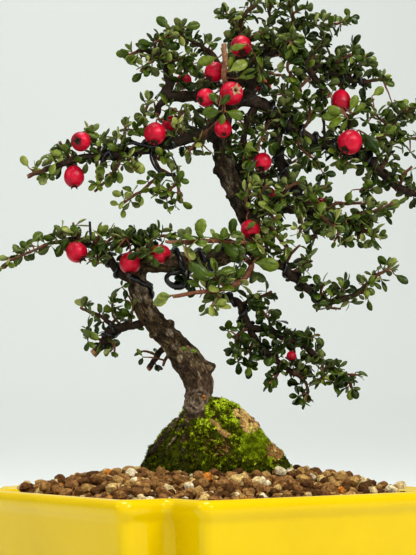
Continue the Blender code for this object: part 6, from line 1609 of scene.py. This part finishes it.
def setRosette(bm, rng, root, axis, count, size, tone, spread=(0.5, 1.35)):
    # leaves round the end of a spur, their upper sides to its axis and to the light
    side = axis.orthogonal().normalized()
    start = rng.uniform(0, 6.3)
    made = 0
    for k in range(count):
        turn = start + k * leafLook["goldenTurn"] + rng.uniform(-0.3, 0.3)
        lean = rng.uniform(*spread) * (0.45 if k == 0 and count > 3 else 1.0)
        aside = Matrix.Rotation(turn, 3, axis) @ side
        along = (axis * math.cos(lean) + aside * math.sin(lean)).normalized()
        along = (along + Vector((0, 0, rng.uniform(-0.15, 0.2)))).normalized()
        upward = axis * 0.75 + Vector((0, 0, 0.4)) + Vector([rng.gauss(0, 0.42) for _ in range(3)])
        long = leafLook["length"] * size * rng.uniform(0.62, 1.25)
        tip = root + along * long
        edge = leafLook["edge"]
        if any(tip[i] < cadBox[0][i] - edge or tip[i] > cadBox[1][i] + edge for i in range(3)):
            continue
        belly = root + along * long * 0.6
        if hidesBerry(belly, long * 0.26, rng) or inGap(belly):
            continue
        if moundTree.find_nearest(root, 2 * mm)[0] is not None:
            continue
        stampCopy(bm, rng.choice(leafShapes), leafMatrix(root, along, upward, long),
                  tone=min(max(tone + rng.gauss(0, 0.2), 0.0), 1.0))
        made += 1
    return made


def nearestPlace(runs, spot):
    return min(((place - spot).length, place) for run in runs for place in run.places)[1]


def stalkRun(row, runs):
    # from the nearest stem round to the berry's top
    across, up, depth, diameter, way, _ = row
    middle, outward, radius = seen(across, up, depth), -seenWay(*way), diameter * mm / 2
    above = middle + outward * (radius + 2.4 * mm)
    best = min(((place - above).length, place) for run in runs
               for place in run.places[len(run.places) // 7:])[1]
    places = [best, best.lerp(above, 0.6) + outward * 0.5 * mm, above, middle + outward * radius * 0.9]
    return smoothRun(places, [0.45 * mm, 0.38 * mm, 0.36 * mm, 0.5 * mm], 0.5 * mm)


# single leaves that stand out in the front view: the marks of the foot and the tip, the depth, the tone
# from dark to pale and the kind of leaf
leafMarks = {
    "branch_high_left": (
        (29, 168, 21, 156, -2, 0.86, 0), (30, 169, 43, 173, -3, 0.8, 2), (51, 173, 40, 182, -2, 0.84, 2),
        (118, 169, 120, 183, -4, 0.8, 0), (110, 172, 108, 187, -3, 0.78, 0),
        (131, 160, 143, 172, -5, 0.84, 1), (125, 195, 112, 193, -4, 0.86, 0),
        (120, 205, 110, 202, -3, 0.82, 0), (123, 208, 124, 217, -4, 0.84, 3),
        (140, 194, 141, 205, -5, 0.8, 0), (181, 201, 191, 209, -5, 0.7, 1),
        (178, 180, 189, 182, -5, 0.55, 0), (63, 161, 58, 150, -4, 0.66, 1), (72, 155, 62, 145, -3, 0.62, 1),
        (96, 133, 86, 130, -4, 0.5, 1), (129, 125, 124, 117, -5, 0.5, 3), (187, 148, 188, 158, -4, 0.66, 1),
        (102, 188, 97, 181, -3, 0.74, 0),
    ),
    "branch_mid_left": (
        (31, 243, 42, 232, -3, 0.6, 3), (29, 249, 20, 242, -3, 0.52, 1), (57, 239, 43, 238, -3, 0.5, 0),
        (21, 255, 9, 260, -3, 0.26, 0), (11, 260, 1, 269, -3, 0.52, 2), (96, 257, 94, 266, -5, 0.6, 3),
        (80, 232, 70, 226, -5, 0.56, 1),
    ),
    "branch_elbow": (
        (114, 239, 110, 228, -8, 0.54, 3), (138, 250, 129, 261, -16.8, 0.3, 1),
        (151, 252, 164, 248, -17.8, 0.58, 1), (154, 256, 156, 267, -15, 0.5, 3),
        (153, 240, 157, 229, -12, 0.62, 1), (124, 238, 130, 229, -12, 0.34, 1),
        (164, 238, 174, 234, -11, 0.66, 0),
    ),
    "branch_upper_left": (
        (170, 29, 157, 17, 0, 0.46, 0), (183, 28, 200, 24, 0, 0.56, 0), (177, 38, 157, 41, -1, 0.58, 1),
        (154, 46, 138, 42, 0, 0.5, 0), (131, 55, 116, 53, 0, 0.56, 0), (142, 58, 126, 61, -1, 0.58, 3),
        (143, 72, 133, 81, 0, 0.46, 0), (164, 46, 180, 46, -1, 0.4, 1),
    ),
    "crown_left": (
        (248, 44, 231, 49, -15, 0.74, 6), (219, 57, 198, 63, -12, 0.74, 2),
        (228, 72, 247, 61, -13.5, 0.82, 0), (236, 79, 257, 71, -11, 0.66, 2),
        (219, 106, 230, 95, -17.6, 0.36, 2), (217, 104, 211, 92, -15, 0.5, 1),
        (225, 111, 243, 117, -14, 0.62, 0), (222, 111, 203, 113, -14, 0.56, 1),
        (228, 70, 232, 57, -12, 0.74, 2), (224, 112, 221, 124, -13, 0.6, 0),
    ),
    "crown_right": (
        (293, 23, 292, 35, -6, 0.66, 0), (346, 114, 327, 108, -6, 0.74, 2),
        (345, 116, 322, 117, -5, 0.66, 6), (346, 117, 329, 126, -7, 0.72, 2),
        (348, 118, 341, 131, -7, 0.6, 6), (350, 112, 357, 95, -6, 0.76, 2),
        (351, 114, 366, 104, -6, 0.66, 6), (386, 86, 388, 74, -2, 0.6, 0), (343, 114, 336, 120, -7, 0.8, 6),
    ),
    "branch_right": (
        (363, 132, 377, 150, -10, 0.26, 0), (229, 113, 242, 117, -12, 0.55, 0),
        (354, 168, 335, 164, -4, 0.7, 1), (372, 96, 384, 88, -3, 0.8, 1), (394, 100, 406, 108, -3, 0.56, 0),
        (352, 190, 346, 201, -2, 0.7, 1), (362, 178, 373, 186, -3, 0.64, 0),
        (257, 160, 248, 171, -9, 0.34, 2), (243, 158, 252, 141, -7, 0.74, 6),
        (258, 152, 246, 146, -8, 0.7, 6),
    ),
    "branch_mid_right": (
        (320, 203, 308, 194, -9, 0.66, 1), (298, 206, 301, 219, -9, 0.64, 1),
        (322, 209, 328, 221, -10, 0.58, 0), (346, 222, 346, 234, -9, 0.34, 0),
        (386, 209, 400, 201, -6, 0.7, 1), (246, 229, 255, 222, -15.5, 0.6, 2),
        (276, 236, 281, 224, -10, 0.62, 1), (247, 251, 263, 252, -14, 0.4, 1),
        (253, 262, 279, 266, -16, 0.66, 0), (262, 240, 274, 246, -13, 0.5, 0),
        (240, 250, 232, 262, -14, 0.52, 1),
    ),
    "branch_low_right": (
        (394, 274, 408, 283, -6, 0.34, 2), (389, 266, 378, 257, -6, 0.5, 0),
        (364, 287, 375, 294, -6, 0.62, 0), (321, 285, 314, 275, -6, 0.4, 3),
        (342, 288, 341, 279, -6, 0.7, 3), (386, 270, 396, 258, -6, 0.88, 2),
    ),
    "shoot_front_upper": (
        (189, 260, 208, 280, -32, 0.5, 2), (214, 243, 203, 252, -26, 0.6, 0),
        (196, 240, 183, 235, -31, 0.66, 2), (224, 245, 213, 233, -22, 0.62, 2),
        (206, 240, 196, 231, -28, 0.6, 6), (230, 246, 245, 252, -20, 0.5, 0),
    ),
    "shoot_front_lower": (
        (171, 296, 154, 304, -30, 0.9, 0), (172, 295, 157, 297, -31, 0.84, 2),
        (171, 296, 160, 293, -32, 0.8, 6), (206, 290, 217, 279, -24, 0.56, 1),
        (214, 290, 204, 300, -22, 0.6, 2), (199, 286, 194, 274, -24, 0.62, 2),
        (236, 280, 244, 268, -16, 0.56, 0), (203, 288, 188, 281, -26, 0.62, 6),
        (222, 288, 232, 277, -22, 0.58, 2),
    ),
    "branch_drop": (
        (206, 303, 199, 311, -4, 0.58, 1), (212, 304, 209, 315, -4, 0.6, 3),
        (272, 375, 266, 386, 2, 0.32, 1), (232, 346, 240, 356, 2, 0.3, 3), (272, 309, 282, 314, 2, 0.4, 1),
    ),
    "sprig_trunk": ((189, 350, 181, 348, -8.6, 0.72, 0), (189, 350, 197, 351, -8.8, 0.74, 0)),
}


# small tufts that the front view shows: the marks of each, its depth, its leaves and its tone
leafClusters = {
    "branch_high_left": (
        (134, 130, -2, 5, 0.4), (101, 139, -3, 3, 0.36), (98, 166, -3, 4, 0.56), (98, 184, -3, 3, 0.6),
        (196, 110, -2, 4, 0.3), (163, 156, -3, 4, 0.66), (157, 186, -4, 4, 0.5), (167, 203, -4, 4, 0.46),
        (175, 205, -4, 4, 0.48), (50, 153, -2, 2, 0.5), (169, 107, -2, 4, 0.36), (212, 153, -4, 3, 0.34),
    ),
    "branch_mid_left": ((62, 250, -3, 3, 0.4),),
    "branch_elbow": ((120, 254, -6, 4, 0.34),),
    "branch_low_left": (
        (125, 300, -4, 5, 0.44), (122, 287, -3, 3, 0.36), (88, 330, -2, 3, 0.44), (88, 341, -2, 3, 0.34),
    ),
    "branch_stub_low": ((143, 357, -1, 2, 0.46),),
    "branch_upper_left": (
        (152, 67, -1, 5, 0.3), (184, 58, -2, 5, 0.32), (193, 64, -3, 4, 0.34), (183, 88, 0, 3, 0.24),
    ),
    "crown_left": ((212, 42, -3, 4, 0.36), (236, 132, -3, 3, 0.26)),
    "crown_right": (
        (279, 4, -2, 5, 0.3), (280, 16, -2, 5, 0.26), (305, 9, -2, 5, 0.3), (305, 38, -3, 6, 0.2),
        (350, 17, -3, 3, 0.44), (353, 48, -2, 5, 0.26), (365, 57, -2, 5, 0.28), (376, 70, -2, 4, 0.32),
        (302, 98, -3, 5, 0.22), (322, 103, -3, 4, 0.3), (300, 82, -3, 4, 0.2), (270, 95, -3, 4, 0.24),
        (392, 103, -2, 4, 0.4),
    ),
    "branch_right": (
        (268, 142, -3, 5, 0.18), (288, 145, -3, 5, 0.18), (303, 166, -4, 5, 0.3), (323, 173, -4, 5, 0.36),
        (314, 162, -4, 4, 0.3), (368, 122, -4, 5, 0.4), (408, 121, -3, 4, 0.42), (410, 152, -2, 5, 0.34),
        (393, 131, -3, 4, 0.3), (232, 150, -6, 4, 0.24),
    ),
    "branch_mid_right": (
        (343, 241, -8, 4, 0.36), (357, 240, -8, 4, 0.44), (371, 237, -8, 4, 0.5), (384, 216, -8, 3, 0.46),
        (280, 254, -10, 4, 0.34), (268, 254, -12, 3, 0.3), (243, 262, -14, 3, 0.36),
    ),
    "branch_low_right": ((304, 276, -7, 4, 0.34), (368, 299, -6, 2, 0.56), (381, 279, -6, 3, 0.4)),
    "shoot_front_upper": ((231, 234, -22, 4, 0.6), (182, 244, -29, 3, 0.6)),
    "branch_drop": (
        (187, 278, -2, 5, 0.04), (194, 283, -2, 4, 0.06), (180, 277, -2, 3, 0.02), (276, 321, 4, 5, 0.2),
        (228, 331, 2, 3, 0.44), (238, 362, 3, 5, 0.26), (249, 366, 3, 5, 0.28), (263, 357, 3, 4, 0.16),
        (267, 335, 4, 4, 0.14), (284, 342, 4, 4, 0.16), (333, 383, 3, 5, 0.24), (299, 396, 3, 5, 0.26),
        (305, 402, 3, 4, 0.34), (256, 345, 4, 4, 0.16),
    ),
}


def makeBranch(name, branch, seed):
    rng = random.Random(seed)
    look = branchLook.get(name, {})
    routes = [branch["stem"], *branch["twigs"]]
    runs = [drawnRun(rows, 0.9 * mm, twigLook["wander"], seed + k) for k, rows in enumerate(routes)]
    for run in runs:
        run.radii = [radius * (twigLook["thin"] if radius < twigLook["limb"] else 1.0)
                     for radius in run.radii]
    ends = [(run.places[-1], run.radii[-1] * 1.3) for run in runs]
    wood = list(runs)
    fresh = [youngTwigs.get((name, k), 0.34 if look.get("young") else 1.0) for k in range(len(runs))]
    for row in berries.values():
        if row[-1] == name:
            wood.append(stalkRun(row, runs))
    leaves = bmesh.new()
    size, dense, paler = look.get("leaf", 1.0), look.get("dense", 1.0), look.get("paler", 0.0)
    for footX, footY, tipX, tipY, depth, tone, kind in leafMarks.get(name, ()):
        foot, tip = marked(footX, footY, depth), marked(tipX, tipY, depth + rng.uniform(-1.5, 0.5))
        root = nearestPlace(runs, foot)
        bend = root.lerp(foot, 0.5) + Vector((0, 0, 0.4 * mm))
        wood.append(smoothRun([root, bend, foot, foot.lerp(tip, 0.1)],
                              [0.32 * mm, 0.26 * mm, 0.22 * mm, 0.12 * mm], 0.5 * mm))
        towards = (eye - foot).normalized() + Vector([rng.gauss(0, 0.28) for _ in range(3)])
        matrix = leafMatrix(foot, (tip - foot).normalized(), towards, (tip - foot).length)
        stampCopy(leaves, leafShapes[kind], matrix, tone=tone)
    count = 0
    for x, y, depth, number, tone in leafClusters.get(name, ()):
        foot = marked(x, y, depth)
        root = nearestPlace(runs, foot)
        bend = root.lerp(foot, 0.5) + Vector((0, 0, 0.5 * mm))
        wood.append(smoothRun([root, bend, foot], [0.4 * mm, 0.32 * mm, 0.22 * mm], 0.6 * mm))
        axis = ((foot - root).normalized() * 0.6 + (eye - foot).normalized()).normalized()
        count += setRosette(leaves, rng, foot, axis, number, size * 1.05, tone)
    for number, run in enumerate(runs):
        bare = branch["bare"] if number == 0 else bareTwigs.get((name, number), 0.1)
        cut = cutTips.get((name, number), 0.0)
        mark, turn = run.length * bare, rng.uniform(0, 6.3)
        while mark < run.length * (1 - cut) - 0.6 * mm:
            place, ahead, radius = run.at(mark)
            turn += leafLook["goldenTurn"]
            around = Matrix.Rotation(turn, 3, ahead) @ ahead.orthogonal().normalized()
            axis = (around * 0.9 + ahead * 0.45 + Vector((0, 0, 0.22))).normalized()
            long = rng.uniform(*leafLook["spurLength"]) + radius
            spurTip = place + axis * long
            if trunkTree.find_nearest(spurTip, 1.5 * mm)[0] is None:
                # the leaf's tone: the branch's paleness, random change and paler towards the twig's end, with
                # painted light where the spur points up or towards the eye, and painted shade on leaves along
                # the thick limbs
                tone = 0.29 + paler + 0.24 * noise.noise(spurTip * 120)
                tone = tone + 0.16 * (mark / run.length) + 0.12 * axis.z
                tone += 0.1 * axis.dot((eye - place).normalized()) - (0.12 if radius > 1.1 * mm else 0)
                radii = [min(radius, 0.34 * mm), twigLook["spurRadius"], twigLook["spurRadius"] * 0.8]
                wood.append(Run([place, place.lerp(spurTip, 0.5) + ahead * 0.2 * mm, spurTip], radii))
                count += setRosette(leaves, rng, spurTip, axis, rng.choice(leafLook["rosette"]), size, tone)
            mark += leafLook["spurSpacing"] * rng.uniform(0.7, 1.3) / dense
        if cut:
            continue
        tip, ahead, _ = run.at(run.length)
        tuft = rng.choice(leafLook["tipRosette"])
        count += setRosette(leaves, rng, tip - ahead * 0.6 * mm, ahead, tuft, size * 0.86, 0.54 + paler,
                            (0.25, 0.85))
    bark = tubesMesh(wood, 2)
    fresh += [1.0] * (len(wood) - len(fresh))
    spots = [(place, radius, share) for run, share in zip(wood, fresh)
             for place, radius in zip(run.places, run.radii)]
    index = kdtree.KDTree(len(spots))
    for k, (place, _, _) in enumerate(spots):
        index.insert(place, k)
    index.balance()
    addTone(bark, "girth")
    # the girth at a point is that of the stem whose skin lies nearest
    near = [min(index.find_n(vertex.co, 8), key=lambda found: abs(found[2] - spots[found[1]][1]))
            for vertex in bark.vertices]
    girths = [min(spots[found[1]][1] / twigLook["girthOfLimb"], 1.0) * spots[found[1]][2] for found in near]
    for vertex, girth in zip(bark.vertices, girths):
        vertex.co += noise.noise_vector(vertex.co * 420) * (0.1 + 0.75 * girth) * mm
    # the cut ends show paler wood
    girths = [girth if all((vertex.co - place).length > reach for place, reach in ends) else 0.03
              for vertex, girth in zip(bark.vertices, girths)]
    bark.attributes["girth"].data.foreach_set("value", girths)
    finishPiece(name + "Wood", bark, finishes["twig"], (name,))
    finishPiece(name + "Leaves", leaves, finishes["leaf"], (name,), 180)
    return runs, count


branchRuns, leafTotal = {}, 0
for seed, (name, branch) in enumerate(branches.items()):
    branchRuns[name], count = makeBranch(name, branch, seed * 11)
    leafTotal += count
print(leafTotal, "leaves are set")


# Berries

def makeBerry(name, row):
    across, up, depth, diameter, way, _ = row
    rng = random.Random(name)
    bm = bmesh.new()
    husk, fade = bm.verts.layers.float.new("husk"), bm.verts.layers.float.new("fade")
    faded = 0.85 if name in berryLook["paleEyes"] else 0.0
    bmesh.ops.create_uvsphere(bm, u_segments=berryLook["sides"], v_segments=berryLook["rings"], radius=1.0)
    for vertex in bm.verts:
        x, y, z = vertex.co
        out = math.hypot(x, y)
        turn = math.atan2(y, x)
        bulge = 1 + 0.05 * math.cos(5 * turn) * max(0.0, -z) ** 2 - 0.06 * z * (1 - z * z)
        bulge += 0.03 * noise.noise(vertex.co * 1.5 + Vector((depth, up, 0)))
        tall = z * berryLook["tall"] * berryLook["long"].get(name, 1.0)
        if z < 0:
            tall += 0.34 * max(0.0, 1 - out / 0.48) ** 1.3  # the eye end is drawn in
        else:
            tall -= 0.12 * max(0.0, 1 - out / 0.25) ** 1.5
        vertex.co = Vector((x * bulge, y * bulge, tall))
        if z < -0.8:
            vertex[husk] = min(1.0, max(0.0, (0.3 - out) / 0.08))
            vertex[fade] = faded * min(1.0, max(0.0, (out - 0.16) / 0.06))
    for k in range(berryLook["sepals"]):
        turn = Matrix.Rotation(2 * math.pi * k / berryLook["sepals"] + rng.uniform(-0.15, 0.15), 4, "Z")
        lean = Matrix.Rotation(math.radians(rng.uniform(-68, -38)), 4, "Y")
        long = rng.uniform(0.36, 0.48)
        place = turn @ Matrix.Translation((0.22, 0, -0.86)) @ lean @ Matrix.Diagonal((0.35, 1, 1, 1))
        made = bmesh.ops.create_cone(bm, cap_ends=True, segments=6, radius1=0.03, radius2=0.2, depth=long,
                                     matrix=place @ Matrix.Translation((0, 0, -long / 2)))
        for vertex in made["verts"]:
            vertex[husk] = 1.0
            vertex[fade] = faded
    radius = diameter * mm / 2
    spin = (-seenWay(*way)).to_track_quat("Z", "Y").to_matrix().to_4x4()
    roll = Matrix.Rotation(rng.uniform(0, 1.2), 4, "Z")
    matrix = Matrix.Translation(seen(across, up, depth)) @ spin @ roll @ Matrix.Scale(radius, 4)
    bmesh.ops.transform(bm, matrix=matrix, verts=bm.verts[:])
    bmesh.ops.recalc_face_normals(bm, faces=bm.faces[:])
    finishPiece(name.replace("berry_", "berryFruit_"), bm, finishes["berry"], (name,), 50)


for name, row in berries.items():
    makeBerry(name, row)
print("the berries hang")


# Training wires

wires = {
    # what each is wound on, its start and end along it, its turns and its radius
    "wire_elbow": ("trunkFoot", 0.77, 0.98, -0.8, 1.05),
    "wire_trunk_level": ("trunkLevel", 0.3, 0.92, 3.0, 1.0),
    "wire_mid_left": ("branch_mid_left", 0.1, 0.34, 3.0, 0.75),
    "wire_high_left": ("branch_high_left", 0.24, 0.66, 4.0, 0.75),
    "wire_right": ("branch_right", 0.09, 0.72, 7.0, 0.9),
    "wire_right_drop": ("branchRightDrop", 0.16, 0.62, 3.5, 0.8),
    "wire_crown_right": ("crown_right", 0.58, 0.92, 3.5, 0.8),
    "wire_low_right": ("branch_low_right", 0.22, 0.55, 3.0, 0.75),
    "wire_drop": ("branch_drop", 0.16, 0.4, 2.75, 0.75),
    "wire_low_left": ("branch_low_left", 0.44, 0.8, 2.5, 0.7),
}
# loose ends and loops of wire: rows of across, up, depth and radius
wireEnds = {
    "midLeftEnd": ((-46.6, 89.8, -1.6, 0.55), (-47, 92.6, -2.4, 0.55), (-47.3, 97.4, -2.6, 0.5)),
    "thinLoop": (
        (-16.4, 126.6, -3.2, 0.32), (-14.4, 123.4, -4.6, 0.32), (-12.6, 119.6, -4.8, 0.3),
        (-11.8, 115.6, -4.4, 0.3),
    ),
    "curl": (
        (-8.6, 78.4, -1.6, 1.3), (-12.4, 77, -2.2, 1.2), (-15, 76.6, -2.6, 1), (-16.6, 75, -3, 0.95),
        (-15.9, 73, -3.2, 1), (-13.4, 71.6, -3.2, 1.35), (-10.6, 71.8, -3, 1.7), (-9.2, 74.6, -2.4, 1.8),
        (-9, 77.6, -1.8, 1.6),
    ),
    "crownStrand": (
        (36.4, 161.6, -2.4, 0.45), (40.2, 156.8, -2.6, 0.45), (43.4, 153.4, -2.8, 0.45),
        (47.6, 147.6, -2.4, 0.45),
    ),
    "highLeftStrand": (
        (-42.6, 120.4, -2, 0.7), (-41.6, 123.6, -2.4, 0.7), (-38.8, 126, -2.4, 0.7),
        (-34.4, 128, -2.2, 0.7), (-29.6, 128.8, -2.4, 0.7), (-24.8, 127.6, -2.8, 0.7),
        (-19.4, 127.4, -3, 0.7),
    ),
    "loopStrand": (
        (-22.4, 126.8, -2.6, 0.75), (-22.6, 122.8, -2.8, 0.75), (-20.4, 118.4, -3.2, 0.75),
        (-16.8, 116.2, -3.6, 0.75), (-13, 116.4, -4.2, 0.6),
    ),
    "crownLoop": (
        (12.8, 145.6, -5.6, 0.3), (17, 146.4, -6, 0.3), (20.2, 148.6, -6.2, 0.3), (21.8, 150.8, -6.2, 0.3),
        (21, 152.2, -5.8, 0.3),
    ),
}
wireLook = {"stepsATurn": 18, "offBark": -0.25 * mm}


def coilRun(run, start, end, turns, radius, skin=None):
    # a wire wound on a stem, or on the skin of the trunk where one is given
    places, side = [], None
    steps = round(abs(turns) * wireLook["stepsATurn"])
    for k in range(steps + 1):
        share = k / steps
        place, ahead, girth = run.at(run.length * (start + (end - start) * share))
        side = ahead.orthogonal() if side is None else side
        side = (side - ahead * side.dot(ahead)).normalized()
        out = Matrix.Rotation(2 * math.pi * turns * share, 3, ahead) @ side
        if skin:
            hit = skin.ray_cast(place + out * girth * 2.2, -out)[0]
            girth = (hit - place).length if hit else girth
        places.append(place + out * (girth * 1.03 + radius + wireLook["offBark"]))
    return smoothRun(places, [radius] * len(places), 0.8 * mm)


def makeWires():
    trunkStems = {"trunkFoot": drawnRun(trunkRuns["foot"]), "trunkLevel": drawnRun(trunkRuns["level"])}
    wound = {"branchRightDrop": branchRuns["branch_right"][1], **trunkStems}
    wound.update({name: runs[0] for name, runs in branchRuns.items()})
    for name, (stem, start, end, turns, radius) in wires.items():
        coil = coilRun(wound[stem], start, end, turns, radius * mm, trunkTree if stem in trunkStems else None)
        mesh = tubesMesh([coil], 4)
        finishPiece(name.replace("wire_", "wireCoil_"), mesh, finishes["wire"], (name,))
    for name, rows in wireEnds.items():
        finishPiece("wireEnd_" + name, tubesMesh([drawnRun(rows, 0.5 * mm)], 3), finishes["wire"])


makeWires()
print("the wires are wound")


# Floor, light and camera

studio = {
    "paper": (0.8, 0.82, 0.8),
    "sky": (0.95, 1.0, 0.97),
    "skyStrength": 0.32,
    # place to the right, behind and above, aim, size, power and colour of each lamp
    "lamps": {
        "key": ((0.75, -0.75, 0.85), (0, 0, 0.1), (0.45, 0.45), 9.5, (1.0, 0.985, 0.95)),
        "window": ((-0.9, -0.45, 0.7), (0, 0, 0.1), (0.5, 0.7), 3.1, (0.97, 0.99, 1.0)),
        "top": ((-0.05, 0.05, 1.15), (0, 0, 0.1), (0.5, 0.3), 5.6, (1.0, 1.0, 0.98)),
        "lipStrip": ((0.25, -0.95, 0.85), (0, 0, 0.05), (0.5, 0.02), 3.2, (1, 1, 1)),
        "edgeStrip": ((-0.1, -1.3, 0.28), (0, 0, 0.04), (0.03, 0.45), 1.5, (1, 1, 1)),
        "backdrop": ((-0.35, 0.9, 1.7), (-0.25, 2.0, 0.45), (1.6, 0.4), 8.0, (1, 1, 1)),
    },
}


def makeStage():
    paper, _ = newFinish("paper", **{"Roughness": 0.9, "Base Color": (*studio["paper"], 1.0)})
    bm = bmesh.new()
    # one sheet: a floor that curves up into a wall behind the tree
    section = ((-2.5, 0.0), (1.2, 0.0), (1.7, 0.12), (2.0, 0.5), (2.1, 1.2), (2.1, 3.2))
    verts = [bm.verts.new((-3.0, y, z)) for y, z in section]
    edges = [bm.edges.new(pair) for pair in zip(verts, verts[1:])]
    made = bmesh.ops.extrude_edge_only(bm, edges=edges)["geom"]
    for part in made:
        if isinstance(part, bmesh.types.BMVert):
            part.co.x = 3.0
    bmesh.ops.rotate(bm, verts=bm.verts[:], cent=(0, 0, 0), matrix=Matrix.Rotation(frontView["turn"], 3, "Z"))
    mesh = meshFrom(bm, "paperSweep")
    mesh.materials.append(paper)
    mesh.shade_smooth()
    sweep = holder("paperSweep", mesh)
    bend = sweep.modifiers.new("bend", "SUBSURF")
    bend.levels = bend.render_levels = 3


def addLight(name, place, aim, size, power, colour=(1, 1, 1)):
    lamp = bpy.data.lights.new(name, "AREA")
    lamp.shape, lamp.size, lamp.size_y, lamp.energy, lamp.color = "RECTANGLE", size[0], size[1], power, colour
    thing = holder(name, lamp)
    spot = turned(*place)
    thing.location = spot
    thing.rotation_euler = (Vector(aim) - spot).to_track_quat("-Z", "Y").to_euler()
    return thing


def makeStudio():
    world = bpy.data.worlds.new("studio")
    world.use_nodes = True
    sky = world.node_tree.nodes["Background"]
    sky.inputs["Color"].default_value = (*studio["sky"], 1.0)
    sky.inputs["Strength"].default_value = studio["skyStrength"]
    bpy.context.scene.world = world
    for name, (place, aim, size, power, colour) in studio["lamps"].items():
        addLight(name, place, turned(*aim), size, power, colour)
    camera = bpy.data.cameras.new("camera")
    camera.lens, camera.sensor_width = frontView["lens"], 36.0
    camera.clip_start, camera.clip_end = 0.02, 20.0
    thing = holder("camera", camera)
    thing.location = eye
    thing.rotation_euler = (math.pi / 2 + frontView["pitch"], 0.0, frontView["turn"])
    bpy.context.scene.camera = thing
    bpy.context.scene.view_settings.view_transform = "Standard"
    bpy.context.scene.view_settings.look = "Medium High Contrast"


makeStage()
makeStudio()
print("the scene is lit")
